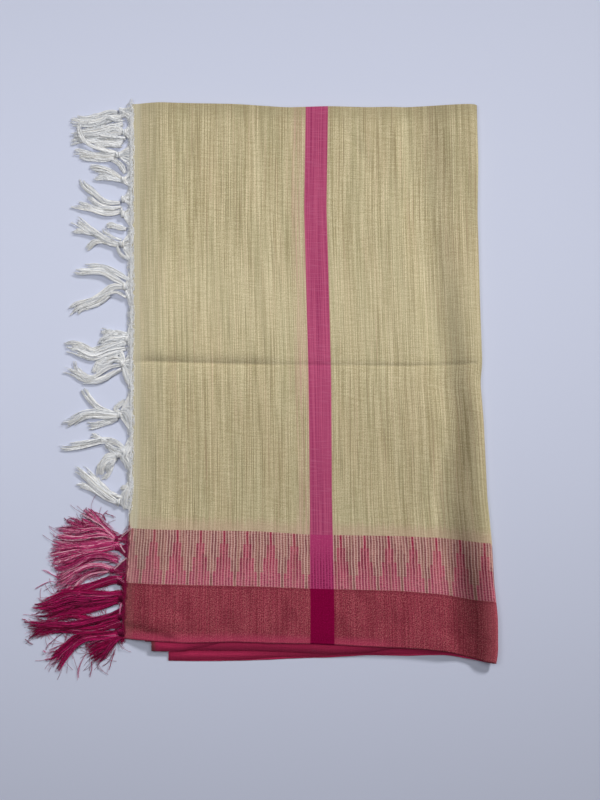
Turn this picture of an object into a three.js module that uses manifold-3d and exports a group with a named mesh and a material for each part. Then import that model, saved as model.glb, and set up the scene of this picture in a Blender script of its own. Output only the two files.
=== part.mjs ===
// A dupatta folded flat: a long cloth doubled along its length and lapped end over end, with the
// knotted fringe of its last end lying out to the left. Millimetres. +Z is up, +Y runs to the
// doubling fold, +X to the last lapping fold, and Z = 0 is the surface the cloth rests on.

import * as THREE from 'three';
import Module from 'manifold-3d';

const wasm = await Module();
wasm.setup();

// ---- Sizes ---------------------------------------------------------------------------------

const CLOTH = 1.1;            // one lap of the doubled cloth
const GAP = 0.45;             // air between two laps
const FRINGE_GAP = 0.8;       // and between the cloth and a tassel
const LAP = CLOTH + GAP;      // from a lap's upper face to the next one's
const RIM = 0.45 * CLOTH;     // how far a lap's rounded edge bulges
const STACK = 7.2;            // top of the packet
const SHELF = 4.9;            // top of the lower strip along the right fold
const FOLD_HEIGHT = 4.6;      // the right fold itself, where it lies flat
const FRINGE_EDGE_Z = 1.8;    // top of the fringed edge, drooped beside the packet

const LEFT_RUN = 24;          // the droop at the left takes this far
const SHELF_END = 20;         // from the fold: where the shelf starts to climb
const SLOPE_END = 36;         // from the fold: where the climb reaches the top
const LIFT_RUN = 26;          // the raised corner's underside comes down within this
const TROUGH_AT = 14;         // middle of the trough beside the raised corner, from the fold
const TROUGH_HALF = 8;

const CREASE = 0.8;           // the pressed crease: depth and half width
const CREASE_HALF = 3.5;
const FAINT = 0.35;           // the fainter crease, and where it runs between far fold and crease
const FAINT_AT = 0.24;
const FAINT_HALF = 4.5;
const FAR_DROP = 0.5;         // rounding over at the doubling fold
const FAR_RUN = 8;
const NEAR_DROP = 0.5;        // sinking at the near edge, and the slope of the laps beyond it
const NEAR_RUN = 10;
const BEYOND_SLOPE = 0.2;

const CORE_INSET = 19;        // hidden layers: from the fringed edge
const CORE_SHORT = 28;        // and from the right fold, where the packet is thick enough
const UNDER_LEFT = -120;      // left end of the underside stretch

// Edges from left to right: the far fold, the crease, and the near edge of every lap.
const ALONG_X = [
  { x: -158, far: 238.4, crease: 18.4, top: -217.4, second: -227.3, core: -220.5, under: -236.5 },
  { x: -135, far: 239.9, crease: 17.7, top: -218.6, second: -227.3, core: -220.3, under: -236.5 },
  { x: -108, far: 239.7, crease: 16.7, top: -220.2, second: -227.7, core: -218.5, under: -236.5 },
  { x: -64, far: 239.5, crease: 15.4, top: -219.0, second: -227.0, core: -217.5, under: -236.2 },
  { x: -20, far: 236.5, crease: 14.7, top: -220.5, second: -228.0, core: -219.0, under: -234.6 },
  { x: 16, far: 237.6, crease: 14.3, top: -221.3, second: -230.2, core: -219.5, under: -233.6 },
  { x: 50, far: 236.6, crease: 13.9, top: -223.3, second: -228.0, core: -221.5, under: -231.6 },
  { x: 85, far: 237.4, crease: 13.7, top: -224.2, second: -222.6, core: -222.0, under: -231.9 },
  { x: 116, far: 239.1, crease: 14.4, top: -227.4, second: -225.5, core: -224.5, under: -231.2 },
  { x: 137, far: 240.1, crease: 15.3, top: -233.3, second: -231.0, core: -230.0, under: -234.3 },
  { x: 158, far: 238.6, crease: 16.2, top: -237.9, second: -236.0, core: -235.0, under: -238.9 },
];

// Edges from far to near: the fringed edge, the second lap's end, the right fold, how far inside
// that fold the hidden laps stop, and how the fold rises and sinks toward the near corner.
const ALONG_Y = [
  { y: 241, left: -154.5, second: -135, fold: 144.4, inner: 12, lift: 0, trough: 0 },
  { y: 190, left: -154.2, second: -135, fold: 145.3, inner: 12, lift: 0, trough: 0 },
  { y: 145, left: -154.0, second: -134, fold: 144.4, inner: 12, lift: 0, trough: 0 },
  { y: 67, left: -153.2, second: -134, fold: 146.0, inner: 12, lift: 0, trough: 0 },
  { y: 17, left: -153.0, second: -133, fold: 147.5, inner: 12, lift: 0, trough: 0 },
  { y: 0, left: -152.9, second: -133, fold: 145.8, inner: 12, lift: 0, trough: 0 },
  { y: -33, left: -152.7, second: -133, fold: 148.4, inner: 13, lift: 0, trough: 0 },
  { y: -98, left: -153.1, second: -133, fold: 151.0, inner: 16, lift: 0, trough: 0 },
  { y: -135, left: -155.0, second: -134, fold: 154.5, inner: 22, lift: 0.3, trough: 0.2 },
  { y: -170, left: -157.3, second: -134, fold: 156.1, inner: 28, lift: 1.1, trough: 0.8 },
  { y: -199, left: -158.5, second: -134, fold: 158.8, inner: 31, lift: 2.0, trough: 1.2 },
  { y: -230, left: -159.1, second: -134, fold: 158.6, inner: 32, lift: 2.4, trough: 1.2 },
  { y: -240, left: -159.3, second: -134, fold: 156.2, inner: 32, lift: 2.4, trough: 1.2 },
];

// Section stations shared by the laps, so that they nest: insets from the fringed edge, fixed
// places across the middle, and insets from the right fold.
const LEFT_INSETS = [0, 3, 7, 11, 15, 19, 24, 30];
const MIDDLE = [-108, -64, -20, 16, 50, 85];
const RIGHT_INSETS = [44, 36, 32, 28, 24, 20, 16, 12, 8, 5];
const INNER_STEPS = [24, 18, 12, 6, 0];
const FOLD_STEPS = 6;
const UNDER_INSETS = [8, 14, 20, 26];

// Rows from far to near, each a line followed at an offset or a share of the way between two.
const ROWS = [
  { line: 'far', off: 0 }, { line: 'far', off: 1.5 }, { line: 'far', off: 4 },
  { line: 'far', off: 9 },
  { line: 'upper', share: 0.13 }, { line: 'upper', share: 0.22 }, { line: 'upper', share: 0.24 },
  { line: 'upper', share: 0.26 }, { line: 'upper', share: 0.45 }, { line: 'upper', share: 0.7 },
  { line: 'crease', off: -8 }, { line: 'crease', off: -3.5 }, { line: 'crease', off: 0 },
  { line: 'crease', off: 3.5 }, { line: 'crease', off: 8 },
  { line: 'lower', share: 0.16 }, { line: 'lower', share: 0.32 }, { line: 'lower', share: 0.48 },
  { line: 'lower', share: 0.65 }, { line: 'lower', share: 0.82 },
  { line: 'near', off: 16 }, { line: 'near', off: 8 }, { line: 'near', off: 3 },
  { line: 'near', off: 0 },
];

// Overhang of each hidden layer at the packet's edges, from the top one down.
const LAYERS = [0.5, 0.9, 0.4, 1.0, 0.6];

// Tassels: each knot's place, then its strands by reach along X and Y and by sideways bow.
const KNOT = { long: 2.5, wide: 2.1, high: 1.6, z: 2.1 };
const WHITE = [
  { x: -163, y: 235, strands: [{ dx: -44, dy: -4, bow: 1.7 }, { dx: -26, dy: -13, bow: 1.5 }] },
  { x: -160, y: 216, strands: [{ dx: -21, dy: 4, bow: -2 }, { dx: -31, dy: -3, bow: 1.8 }] },
  { x: -166, y: 197, strands: [{ dx: -35, dy: 28, bow: 9 }, { dx: -40, dy: 2, bow: 1.7 }] },
  { x: -159, y: 176, strands: [{ dx: -32, dy: 9, bow: -0.2 }, { dx: -34, dy: -1, bow: 1.7 }] },
  { x: -162, y: 158, strands: [{ dx: -41, dy: 18, bow: 6 }, { dx: -33, dy: 4, bow: 4 }] },
  { x: -162, y: 145, strands: [{ dx: -44, dy: 7, bow: 2.9 }, { dx: -24, dy: -5, bow: 1 }] },
  { x: -162, y: 117, strands: [{ dx: -39, dy: 27, bow: 2.8 }, { dx: -45, dy: 11, bow: 0.7 },
    { dx: -29, dy: -6, bow: -2.5 }, { dx: -14, dy: 19, bow: -3 }] },
  { x: -158.5, y: 85, strands: [{ dx: -46, dy: 10, bow: -6.7 }, { dx: -32, dy: 20, bow: -4.5 },
    { dx: -50, dy: -27, bow: 0.7 }] },
  { x: -158.5, y: 40, strands: [{ dx: -54, dy: -10, bow: 8.3 }, { dx: -30, dy: -14, bow: -2 },
    { dx: -26, dy: 7, bow: 2 }] },
  { x: -160, y: 15, strands: [{ dx: -42, dy: 3, bow: 8 }, { dx: -51, dy: -9, bow: 10 }] },
  { x: -162, y: -27, strands: [{ dx: -33, dy: 24, bow: 5.3 }, { dx: -55, dy: -2, bow: -4.1 },
    { dx: -28, dy: -9, bow: 2.5 }] },
  { x: -159, y: -59, strands: [{ dx: -55, dy: 5, bow: -4.3 }, { dx: -26, dy: 16, bow: 3.5 },
    { dx: -22, dy: -21, bow: -5.6 }] },
  { x: -162, y: -102, strands: [{ dx: -39, dy: 27, bow: 0.2 }, { dx: -38, dy: 14, bow: -0.5 },
    { dx: -17, dy: 19, bow: 0.6 }] },
];
const MAGENTA = [
  { x: -163, y: -130, strands: [{ dx: -32, dy: 22, bow: 0.7 }, { dx: -54, dy: 8, bow: -0.4 }] },
  { x: -164, y: -148, strands: [{ dx: -60, dy: 5, bow: -3.1 }] },
  { x: -168, y: -160, strands: [{ dx: -45, dy: -6, bow: -5 }] },
  { x: -162, y: -173, strands: [{ dx: -56, dy: -7, bow: -3 }] },
  { x: -162, y: -189, strands: [{ dx: -74, dy: -5, bow: -3 }] },
  { x: -162.5, y: -204, strands: [{ dx: -81, dy: -5, bow: 0.1 }] },
  { x: -163, y: -217, strands: [{ dx: -62, dy: -27, bow: -6 }, { dx: -24, dy: -22, bow: -3 }] },
];
const CORD = { root: 1.4, tip: 0.85, z: 1.75, steps: 9, sides: 4, sway: 0.9 };
const LOCK = { root: 0.8, tip: 0.45, z: 1.1, level: 1.9, steps: 6, sides: 3, count: 6, spread: 6 };
const FAN = { half: 4.5, thick: 0.42, z: 1.25 };   // warp ends drawn from the cloth to a knot

// ---- Helpers -------------------------------------------------------------------------------

const vec = (x, y, z) => new THREE.Vector3(x, y, z);
const mix = THREE.MathUtils.lerp;
const ease = (v, from, to) => THREE.MathUtils.smoothstep(v, from, to);
const groove = (d, half) => Math.max(0, 1 - Math.abs(d) / half);

// A table's row at any place along its key column, worked out between its neighbours.
function at(table, key, value) {
  const rising = table[1][key] > table[0][key];
  let k = 1;
  while (k < table.length - 1 && (rising ? table[k][key] < value : table[k][key] > value)) k++;
  const a = table[k - 1], b = table[k];
  const t = THREE.MathUtils.clamp((value - a[key]) / (b[key] - a[key]), 0, 1);
  return Object.fromEntries(Object.keys(a).map((name) => [name, mix(a[name], b[name], t)]));
}

// Y of a row at x, for the lap whose near edge is the named column.
function rowY(row, x, lap) {
  const edge = at(ALONG_X, 'x', x);
  if (row.line === 'far') return edge.far - row.off;
  if (row.line === 'upper') return mix(edge.far, edge.crease, row.share);
  if (row.line === 'crease') return edge.crease - row.off;
  if (row.line === 'lower') return mix(edge.crease, edge.top, row.share);
  return edge[lap] + row.off;
}

// ---- The form all laps share ---------------------------------------------------------------

// Height of the packet's upper face; lower laps follow it at a fixed depth.
function topZ(x, y) {
  const across = at(ALONG_Y, 'y', y), along = at(ALONG_X, 'x', x);
  const fromLeft = x - across.left, fromFold = across.fold - x;
  const foldHeight = FOLD_HEIGHT - 0.4 * across.lift;
  const leftSide = mix(FRINGE_EDGE_Z, STACK, ease(fromLeft, 1, LEFT_RUN));
  const rightSide = mix(foldHeight, SHELF, ease(fromFold, 3, 13))
    + (STACK - SHELF) * ease(fromFold, SHELF_END, SLOPE_END)
    + across.lift * (1 - ease(fromFold, 2, 12))
    - across.trough * (1 - ease(Math.abs(fromFold - TROUGH_AT), 0, TROUGH_HALF));
  const pastNear = along.top - y;
  const relief = CREASE * groove(y - along.crease, CREASE_HALF)
    + FAINT * groove(y - mix(along.far, along.crease, FAINT_AT), FAINT_HALF)
    + FAR_DROP * (1 - ease(along.far - y, 0, FAR_RUN))
    + NEAR_DROP * (1 - ease(-pastNear, 0, NEAR_RUN)) + BEYOND_SLOPE * Math.max(0, pastNear);
  const fade = ease(fromLeft, 0, 20) * ease(fromFold, 2, 8);
  return Math.min(leftSide, rightSide) - fade * relief;
}

// Height of the underside: flat on the surface but for the raised near right corner.
function underZ(x, y) {
  const across = at(ALONG_Y, 'y', y);
  return across.lift * (1 - ease(across.fold - x, 0, LIFT_RUN));
}

// ---- Meshes --------------------------------------------------------------------------------

// A closed body between two grids of points that share rows and columns; rim() gives the points
// from one to the other at the border, told the outward direction there.
function between(upper, lower, rim) {
  const rows = upper.length, cols = upper[0].length;
  const points = [...upper.flat(), ...lower.flat()];
  const tris = [];
  const quad = (a, b, c, d) => tris.push(a, b, c, a, c, d);
  const up = (i, j) => i * cols + j;
  const down = (i, j) => rows * cols + i * cols + j;
  for (let i = 0; i + 1 < rows; i++) {
    for (let j = 0; j + 1 < cols; j++) {
      quad(up(i, j), up(i + 1, j), up(i + 1, j + 1), up(i, j + 1));
      quad(down(i, j), down(i, j + 1), down(i + 1, j + 1), down(i + 1, j));
    }
  }
  const border = [];
  for (let i = 0; i < rows - 1; i++) border.push([i, 0]);
  for (let j = 0; j < cols - 1; j++) border.push([rows - 1, j]);
  for (let i = rows - 1; i > 0; i--) border.push([i, cols - 1]);
  for (let j = cols - 1; j > 0; j--) border.push([0, j]);
  const chains = border.map(([i, j]) => {
    const here = upper[i][j], out = vec(0, 0, 0);
    const away = (from) => out.add(here.clone().sub(from).normalize());
    if (i === 0) away(upper[1][j]);
    if (i === rows - 1) away(upper[rows - 2][j]);
    if (j === 0) away(upper[i][1]);
    if (j === cols - 1) away(upper[i][cols - 2]);
    const steps = rim(here, lower[i][j], out.normalize());
    const ids = steps.map((p) => points.push(p) - 1);
    return [up(i, j), ...ids, down(i, j)];
  });
  chains.forEach((chain, k) => {
    const next = chains[(k + 1) % chains.length];
    for (let m = 0; m + 1 < chain.length; m++) quad(next[m], chain[m], chain[m + 1], next[m + 1]);
  });
  return { points, tris };
}

// A lap of cloth: a wall of even thickness under the given outer face, with rounded edges.
function lap(outer) {
  const rows = outer.length, cols = outer[0].length;
  const inner = outer.map((line, i) => line.map((p, j) => {
    const down = outer[Math.min(i + 1, rows - 1)][j].clone().sub(outer[Math.max(i - 1, 0)][j]);
    const right = outer[i][Math.min(j + 1, cols - 1)].clone().sub(outer[i][Math.max(j - 1, 0)]);
    return p.clone().addScaledVector(down.cross(right).normalize(), -CLOTH);
  }));
  const rim = (a, b, out) => [a.clone().lerp(b, 0.5).addScaledVector(out, RIM)];
  return between(outer, inner, rim);
}

// A tube along a path; half(k) is its half width at the path's point k, turn its section's angle.
function tube(path, half, sides, turn, flat = 1) {
  const points = [], tris = [];
  path.forEach((p, k) => {
    const ahead = path[Math.min(k + 1, path.length - 1)].clone().sub(path[Math.max(k - 1, 0)]);
    const side = vec(0, 0, 1).cross(ahead.normalize()).normalize();
    const rise = ahead.clone().cross(side);
    for (let m = 0; m < sides; m++) {
      const a = turn + (2 * Math.PI * m) / sides;
      points.push(p.clone().addScaledVector(side, half(k) * Math.cos(a))
        .addScaledVector(rise, half(k) * flat * Math.sin(a)));
    }
  });
  const last = (path.length - 1) * sides;
  for (let k = 0; k < last; k += sides) {
    for (let m = 0; m < sides; m++) {
      const n = (m + 1) % sides;
      tris.push(k + m, k + n, k + sides + n, k + m, k + sides + n, k + sides + m);
    }
  }
  for (let m = 1; m + 1 < sides; m++) tris.push(0, m + 1, m, last, last + m, last + m + 1);
  return { points, tris };
}

function ball(centre, size) {
  const geometry = new THREE.SphereGeometry(1, 7, 4);
  const seats = new Map(), points = [], ids = [];
  const place = geometry.attributes.position;
  for (let k = 0; k < place.count; k++) {
    const p = vec(place.getX(k) * size.wide, place.getY(k) * size.long, place.getZ(k) * size.high)
      .add(centre);
    const seat = [p.x, p.y, p.z].map((v) => v.toFixed(4)).join();
    if (!seats.has(seat)) seats.set(seat, points.push(p) - 1);
    ids.push(seats.get(seat));
  }
  const tris = Array.from(geometry.index.array, (k) => ids[k]);
  return { points, tris };
}

function solid({ points, tris }) {
  const vertProperties = Float32Array.from(points.flatMap((p) => [p.x, p.y, p.z]));
  const mesh = new wasm.Mesh({ numProp: 3, vertProperties, triVerts: Uint32Array.from(tris) });
  return new wasm.Manifold(mesh);
}

function fuse(bodies) {
  const whole = bodies.map(solid).reduce((sum, body) => sum.add(body)).getMesh();
  const points = [];
  for (let k = 0; k < whole.vertProperties.length; k += 3) {
    points.push(vec(...whole.vertProperties.slice(k, k + 3)));
  }
  return { points, tris: Array.from(whole.triVerts) };
}

// ---- The cloth -----------------------------------------------------------------------------

const onTop = (row, x, lapName, depth) => {
  const y = rowY(row, x, lapName);
  return vec(x, y, topZ(x, y) - depth);
};

// The outer stretch: over the top from the fringed edge, round the right fold, back underneath.
function outerFace() {
  return ROWS.map((row) => {
    const left = at(ALONG_Y, 'y', rowY(row, ALONG_X[0].x, 'top')).left;
    const { fold, lift } = at(ALONG_Y, 'y', rowY(row, ALONG_X.at(-1).x, 'top'));
    const radius = (FOLD_HEIGHT - 0.4 * lift) / 2;
    const line = [
      ...LEFT_INSETS.map((inset) => onTop(row, left + inset, 'top', 0)),
      ...MIDDLE.map((x) => onTop(row, x, 'top', 0)),
      ...RIGHT_INSETS.map((inset) => onTop(row, fold - inset, 'top', 0)),
    ];
    for (let k = 0; k <= FOLD_STEPS; k++) {
      const a = (Math.PI * k) / FOLD_STEPS;
      const x = fold - radius + radius * Math.sin(a);
      const y = mix(rowY(row, x, 'top'), rowY(row, x, 'under'), k / FOLD_STEPS);
      line.push(vec(x, y, lift + radius + radius * Math.cos(a)));
    }
    const below = [...UNDER_INSETS.map((inset) => fold - inset), ...MIDDLE.toReversed(), UNDER_LEFT];
    for (const x of below) {
      const y = rowY(row, x, 'under');
      line.push(vec(x, y, underZ(x, y)));
    }
    return line;
  });
}

// Stations of a hidden lap: its own left end, then the shared ones up to its own right end.
function innerStations(row, lapName, leftEnd, rightInset) {
  const start = at(ALONG_Y, 'y', rowY(row, ALONG_X[0].x, lapName));
  const end = at(ALONG_Y, 'y', rowY(row, ALONG_X.at(-1).x, 'top'));
  const left = leftEnd(start), right = end.fold - rightInset(end);
  return [left, left + 7, ...MIDDLE, ...INNER_STEPS.map((step) => right - step)];
}

function secondFace() {
  const stations = (row) => innerStations(row, 'second', (start) => start.second, (end) => end.inner);
  return ROWS.map((row) => stations(row).map((x) => onTop(row, x, 'second', LAP)));
}

// The hidden layers: one body whose edges show them as rounded lips.
function core() {
  const stations = (row) => innerStations(row, 'core', (start) => start.left + CORE_INSET,
    (end) => Math.max(CORE_SHORT, end.inner + 2));
  const upper = ROWS.map((row) => stations(row).map((x) => onTop(row, x, 'core', 2 * LAP)));
  const lower = upper.map((line) => line.map((p) => vec(p.x, p.y, LAP)));
  const rim = (a, b, out) => LAYERS.flatMap((lip, k) => {
    const point = (share, by) => a.clone().lerp(b, share / LAYERS.length)
      .addScaledVector(vec(out.x, out.y, 0), by);
    const face = point(k + 0.5, lip);
    return k === 0 ? [face] : [point(k, 0), face];
  });
  return between(upper, lower, rim);
}

// ---- The fringe ----------------------------------------------------------------------------

// A strand's path: straight reach from the knot, bowed and swaying sideways, down to rest height.
function strandPath(knot, strand, { steps, z, sway = 0 }, phase) {
  const length = Math.hypot(strand.dx, strand.dy);
  const across = vec(-strand.dy / length, strand.dx / length, 0);
  return Array.from({ length: steps + 1 }, (_, k) => {
    const t = k / steps;
    const aside = 4 * strand.bow * t * (1 - t) + sway * Math.sin(9 * t + phase) * ease(t, 0.1, 0.4);
    return vec(knot.x + strand.dx * t, knot.y + strand.dy * t, mix(KNOT.z, z, ease(t, 0, 0.3)))
      .addScaledVector(across, aside);
  });
}

function head(knot) {
  const edge = at(ALONG_Y, 'y', knot.y).left - RIM - FRINGE_GAP;
  const fan = [vec(edge, knot.y, FAN.z), vec(knot.x, knot.y, FAN.z + 0.4)];
  const wide = Math.min(FAN.half, 1 + 0.7 * (edge - knot.x));
  return [
    ball(vec(knot.x, knot.y, KNOT.z), KNOT),
    tube(fan, (k) => (k ? 1.2 : wide), 4, Math.PI / 4, FAN.thick / wide),
  ];
}

function whiteTassel(knot, n) {
  const width = (k) => mix(CORD.root, CORD.tip, k / CORD.steps);
  const strands = knot.strands.map((strand, k) => (
    tube(strandPath(knot, strand, CORD, n + 2 * k), width, CORD.sides, 0.3 + k)));
  return fuse([...head(knot), ...strands]);
}

// A magenta tassel's locks spread like a hand, alternate ones a level higher.
function magentaTassel(knot) {
  const width = (k) => mix(LOCK.root, LOCK.tip, k / LOCK.steps);
  const locks = knot.strands.flatMap((strand) => Array.from({ length: LOCK.count }, (_, k) => {
    const place = (2 * k) / (LOCK.count - 1) - 1;
    const length = Math.hypot(strand.dx, strand.dy);
    const reach = 1 - 0.16 * Math.abs(Math.sin(5 * k + knot.y));
    const turn = (LOCK.spread * place) / length;
    const dx = reach * (strand.dx - strand.dy * turn), dy = reach * (strand.dy + strand.dx * turn);
    const path = strandPath(knot, { dx, dy, bow: strand.bow },
      { steps: LOCK.steps, z: LOCK.z + LOCK.level * (k % 2) }, k);
    return tube(path, width, LOCK.sides, 0.4 + 2.2 * k);
  }));
  return fuse([...head(knot), ...locks]);
}

// ---- The part ------------------------------------------------------------------------------

const dupatta = new THREE.Group();
dupatta.name = 'dupatta';

function add(name, color, roughness, { points, tris }) {
  const geometry = new THREE.BufferGeometry().setFromPoints(points);
  geometry.setIndex(tris);
  geometry.computeVertexNormals();
  const material = new THREE.MeshStandardMaterial({ color, roughness, metalness: 0 });
  const mesh = new THREE.Mesh(geometry, material);
  mesh.name = name;
  dupatta.add(mesh);
}

const numbered = (stem, n) => `${stem}_${String(n + 1).padStart(2, '0')}`;

add('outer_ply', 0xb8ad88, 0.85, lap(outerFace()));
add('second_ply', 0x7e2640, 0.85, lap(secondFace()));
add('folded_core', 0xa89d78, 0.85, core());
WHITE.forEach((knot, n) => add(numbered('tassel_white', n), 0xe6e6e8, 0.9, whiteTassel(knot, n)));
MAGENTA.forEach((knot, n) => (
  add(numbered('tassel_magenta', n), 0xa0245a, 0.55, magentaTassel(knot))));

export default dupatta;
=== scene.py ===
# %% [markdown]
# A handloom dupatta, folded flat. The real one is a cloth about 0.91 m wide and 2.4 m long,
# doubled along its length and then lapped end over end, so that one fringed end lies on top at
# the left. The frame holds its solids; every piece below is a thinner, finer cloth or yarn piece
# laid in the same place. First the frame is loaded.

# %% Load the frame
import math
import bpy
import numpy as np
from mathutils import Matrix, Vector


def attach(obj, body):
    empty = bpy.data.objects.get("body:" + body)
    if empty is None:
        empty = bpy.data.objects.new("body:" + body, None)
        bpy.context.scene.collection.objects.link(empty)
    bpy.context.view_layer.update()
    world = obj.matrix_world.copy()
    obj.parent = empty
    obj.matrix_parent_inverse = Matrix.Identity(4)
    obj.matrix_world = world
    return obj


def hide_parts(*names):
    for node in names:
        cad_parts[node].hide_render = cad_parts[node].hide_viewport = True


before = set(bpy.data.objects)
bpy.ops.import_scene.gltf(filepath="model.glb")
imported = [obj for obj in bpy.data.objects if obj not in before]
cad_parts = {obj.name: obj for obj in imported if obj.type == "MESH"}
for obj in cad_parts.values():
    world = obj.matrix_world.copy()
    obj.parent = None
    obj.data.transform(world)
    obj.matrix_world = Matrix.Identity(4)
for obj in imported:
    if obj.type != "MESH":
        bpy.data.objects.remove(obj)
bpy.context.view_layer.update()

# %% [markdown]
# The camera looks almost straight down, as onto a counter, tipped only 2 degrees. It could be
# aimed with a constraint, but a fixed place and one tilt angle say the same with less.

# %% Camera
MM = 0.001
TILT = math.radians(2)
EYE = 750                              # from the eye to the middle of the view, mm
VIEW_MIDDLE = (-8.49, -15.28, 7)
camera = bpy.data.objects.new("camera", bpy.data.cameras.new("camera"))
bpy.context.collection.objects.link(camera)
camera.data.sensor_width, camera.data.lens = 36, 39.75
camera.data.clip_start, camera.data.clip_end = 0.05, 20
camera.location = [MM * (c + EYE * d) for c, d in
                   zip(VIEW_MIDDLE, (0, -math.sin(TILT), math.cos(TILT)))]
camera.rotation_euler = (TILT, 0, 0)
bpy.context.scene.camera = camera
print("camera at", [round(v, 3) for v in camera.location])

# %% [markdown]
# The folded cloth is measured by a few lines: the doubling fold at the far side, the pressed
# crease, the near edges, the fringed edge at the left and the lapping fold at the right. Each is
# a short table of places. Straight joints between them would show as kinks, so every line is
# softened by averaging it over a few millimetres.

# %% Lines that the cloth follows
def soft_line(points, soften=5):
    where, value = np.array(sorted(points), float).T
    shifts = np.linspace(-soften, soften, 7)
    return lambda t: sum(np.interp(np.asarray(t) + s, where, value) for s in shifts) / 7

STATIONS = (-158, -135, -108, -64, -20, 16, 50, 85, 116, 137, 158)
ALONG_X = {
    "far": (240.9, 241.3, 240.3, 239.5, 236.5, 237.6, 236.6, 237.4, 239.1, 240.1, 238.6),
    "crease": (18.4, 17.7, 16.7, 15.4, 14.7, 14.3, 13.9, 13.7, 14.4, 15.3, 16.2),
    "top": (-217.4, -218.6, -220.2, -219, -220.5, -221.3, -223.3, -224.2, -227.4, -233.3, -237.9),
    "second": (-227.3, -227.3, -227.7, -217, -217, -217, -218, -220, -224, -229, -234),
    "tucked": (-226, -226, -226.3, -227.1, -228, -230.2, -228, -222.6, -224.5, -230, -235),
    "core": (-220.5, -220.3, -218.5, -217.5, -219, -219.5, -221.5, -222, -224.5, -230, -235),
    "under": (-236.5, -236.5, -236.5, -236.2, -234.6, -233.6, -231.6, -231.9, -231.2, -234.3,
              -238.9),
}
edge = {name: soft_line(zip(STATIONS, row)) for name, row in ALONG_X.items()}
edge["band_top"] = soft_line([(-151, -124.1), (-135, -124.7), (-42, -126.2), (-2, -129),
                              (21, -129.4), (76, -130.2), (110, -131.9), (152, -136.7)])
edge["border"] = soft_line([(-153.5, -170.3), (-135, -170.5), (-42, -172.6), (0, -174.3),
                            (76, -176.1), (110, -179), (135, -183.7), (156, -185.4)])

DEPTHS = (241, 190, 145, 67, 17, 0, -33, -98, -135, -170, -199, -230, -240)
ALONG_Y = {
    "left": (-154.5, -154.2, -154, -153.2, -153, -152.9, -152.7, -153.1, -155, -157.3, -158.5,
             -159.1, -159.3),
    "second_left": (-135, -135, -134, -134, -133, -133, -133, -133, -134, -134, -134, -134, -134),
    "fold": (144.4, 145.3, 144.4, 146, 147.5, 145.8, 148.4, 151, 154.5, 156.1, 158.8, 158.6,
             156.2),
    "inner": (12, 12, 12, 12, 12, 12, 13, 16, 22, 28, 31, 32, 32),
    "lift": (0, 0, 0, 0, 0, 0, 0, 0, 0.3, 1.2, 2.6, 3.4, 3.4),
    "ridge": (6.0, 6.3, 6.4, 6.5, 6.6, 6.6, 6.6, 6.6, 6.9, 7.6, 7.4, 7.2, 7.2),
    "trough": (5.2, 4.9, 4.8, 4.7, 4.6, 4.6, 4.6, 4.6, 4.6, 4.6, 4.6, 4.4, 4.4),
    "trough_at": (60, 56, 52, 42, 34, 31, 26, 38, 40, 33, 34, 26, 26),
    # painted shade beside the right fold, and its half width
    "painted_shade": (0.12, 0.2, 0.14, 0.24, 0.31, 0.31, 0.31, 0.33, 0.5, 0.62, 0.54, 0.4, 0.4),
    "painted_shade_wide": (14, 13, 10, 10, 10, 10, 12, 18, 15, 16, 19, 16, 16),
}
side = {name: soft_line(zip(DEPTHS, row)) for name, row in ALONG_Y.items()}
side["stripe_left"] = soft_line([(236, -3.6), (149, -5), (67, -3), (5, -1.3), (-97, -0.3),
                                 (-196, 0.2)])
side["stripe_right"] = soft_line([(236, 15.6), (149, 14.2), (67, 16.5), (5, 18.1), (-97, 18.5),
                                  (-196, 20.6)])
print("fold line at the middle", round(float(side["fold"](0)), 1), "mm")

# %% [markdown]
# The upper face is not level: it droops at the fringe, sinks into a trough where the inner laps
# end beside the right fold, rises over the fold and most at the near right corner, and is pressed
# in along one crease. The creases and soft waves are placed one by one, each with its own reach,
# depth and width, some as valleys and some as ridges. A displacement texture would scatter them
# evenly, which a folded cloth never does.

# %% Height of the upper face
LAP = 1.55                             # from one doubled lap to the next, mm
STACK, FOLD_HEIGHT, FRINGE_EDGE = 7.2, 4.6, 1.8

def ease(value, start, end):
    t = np.clip((value - start) / (end - start), 0, 1)
    return t * t * (3 - 2 * t)

def blend(a, b, t):
    return a + (b - a) * t

# From, to, height and half widths on the two sides of the line, in mm; ridges are positive.
WAVES = [
    ((19, 229), (62, 174), -0.42, 2.4, 4.5),
    ((62, 174), (86, 146), -0.18, 4.0, 6.0),
    ((-120, 184), (-38, 184), -0.34, 1.6, 3.6),
    ((-38, 184), (58, 184), -0.16, 1.4, 3.0),
    ((-160, -204), (-139, -210), -0.95, 2.6, 4.0),
    ((-139, -210), (-98, -211), -0.60, 2.2, 4.0),
    ((-156, -197), (-96, -201), 0.35, 4.0, 5.0),
    ((-130, 12), (-125, -34), -0.50, 4.0, 7.0),
    ((-139, -40), (-134, -120), -0.50, 4.0, 8.0),
    ((-104, -8), (-106, -82), 0.28, 8.0, 9.0),
    ((-62, -28), (-58, -90), -0.24, 6.0, 8.0),
    ((-118, 150), (-121, 60), 0.24, 7.0, 7.0),
    ((-70, 170), (-74, 40), -0.20, 9.0, 6.0),
    ((-40, 120), (-34, 30), 0.22, 8.0, 7.0),
    ((46, 130), (52, 40), -0.20, 7.0, 9.0),
    ((88, 160), (96, 30), 0.26, 8.0, 8.0),
    ((64, -18), (62, -96), -0.26, 6.0, 9.0),
    ((40, -30), (36, -110), 0.20, 7.0, 6.0),
    ((98, -10), (104, -92), 0.26, 8.0, 6.0),
    ((-20, -182), (-26, -212), -0.30, 6.0, 8.0),
    ((-78, -180), (-90, -208), -0.34, 7.0, 7.0),
    ((60, -188), (70, -214), -0.28, 6.0, 9.0),
    ((104, -196), (128, -222), -0.45, 5.0, 8.0),
    ((131, 225), (134, 120), -0.20, 3.0, 5.0),
]

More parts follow.
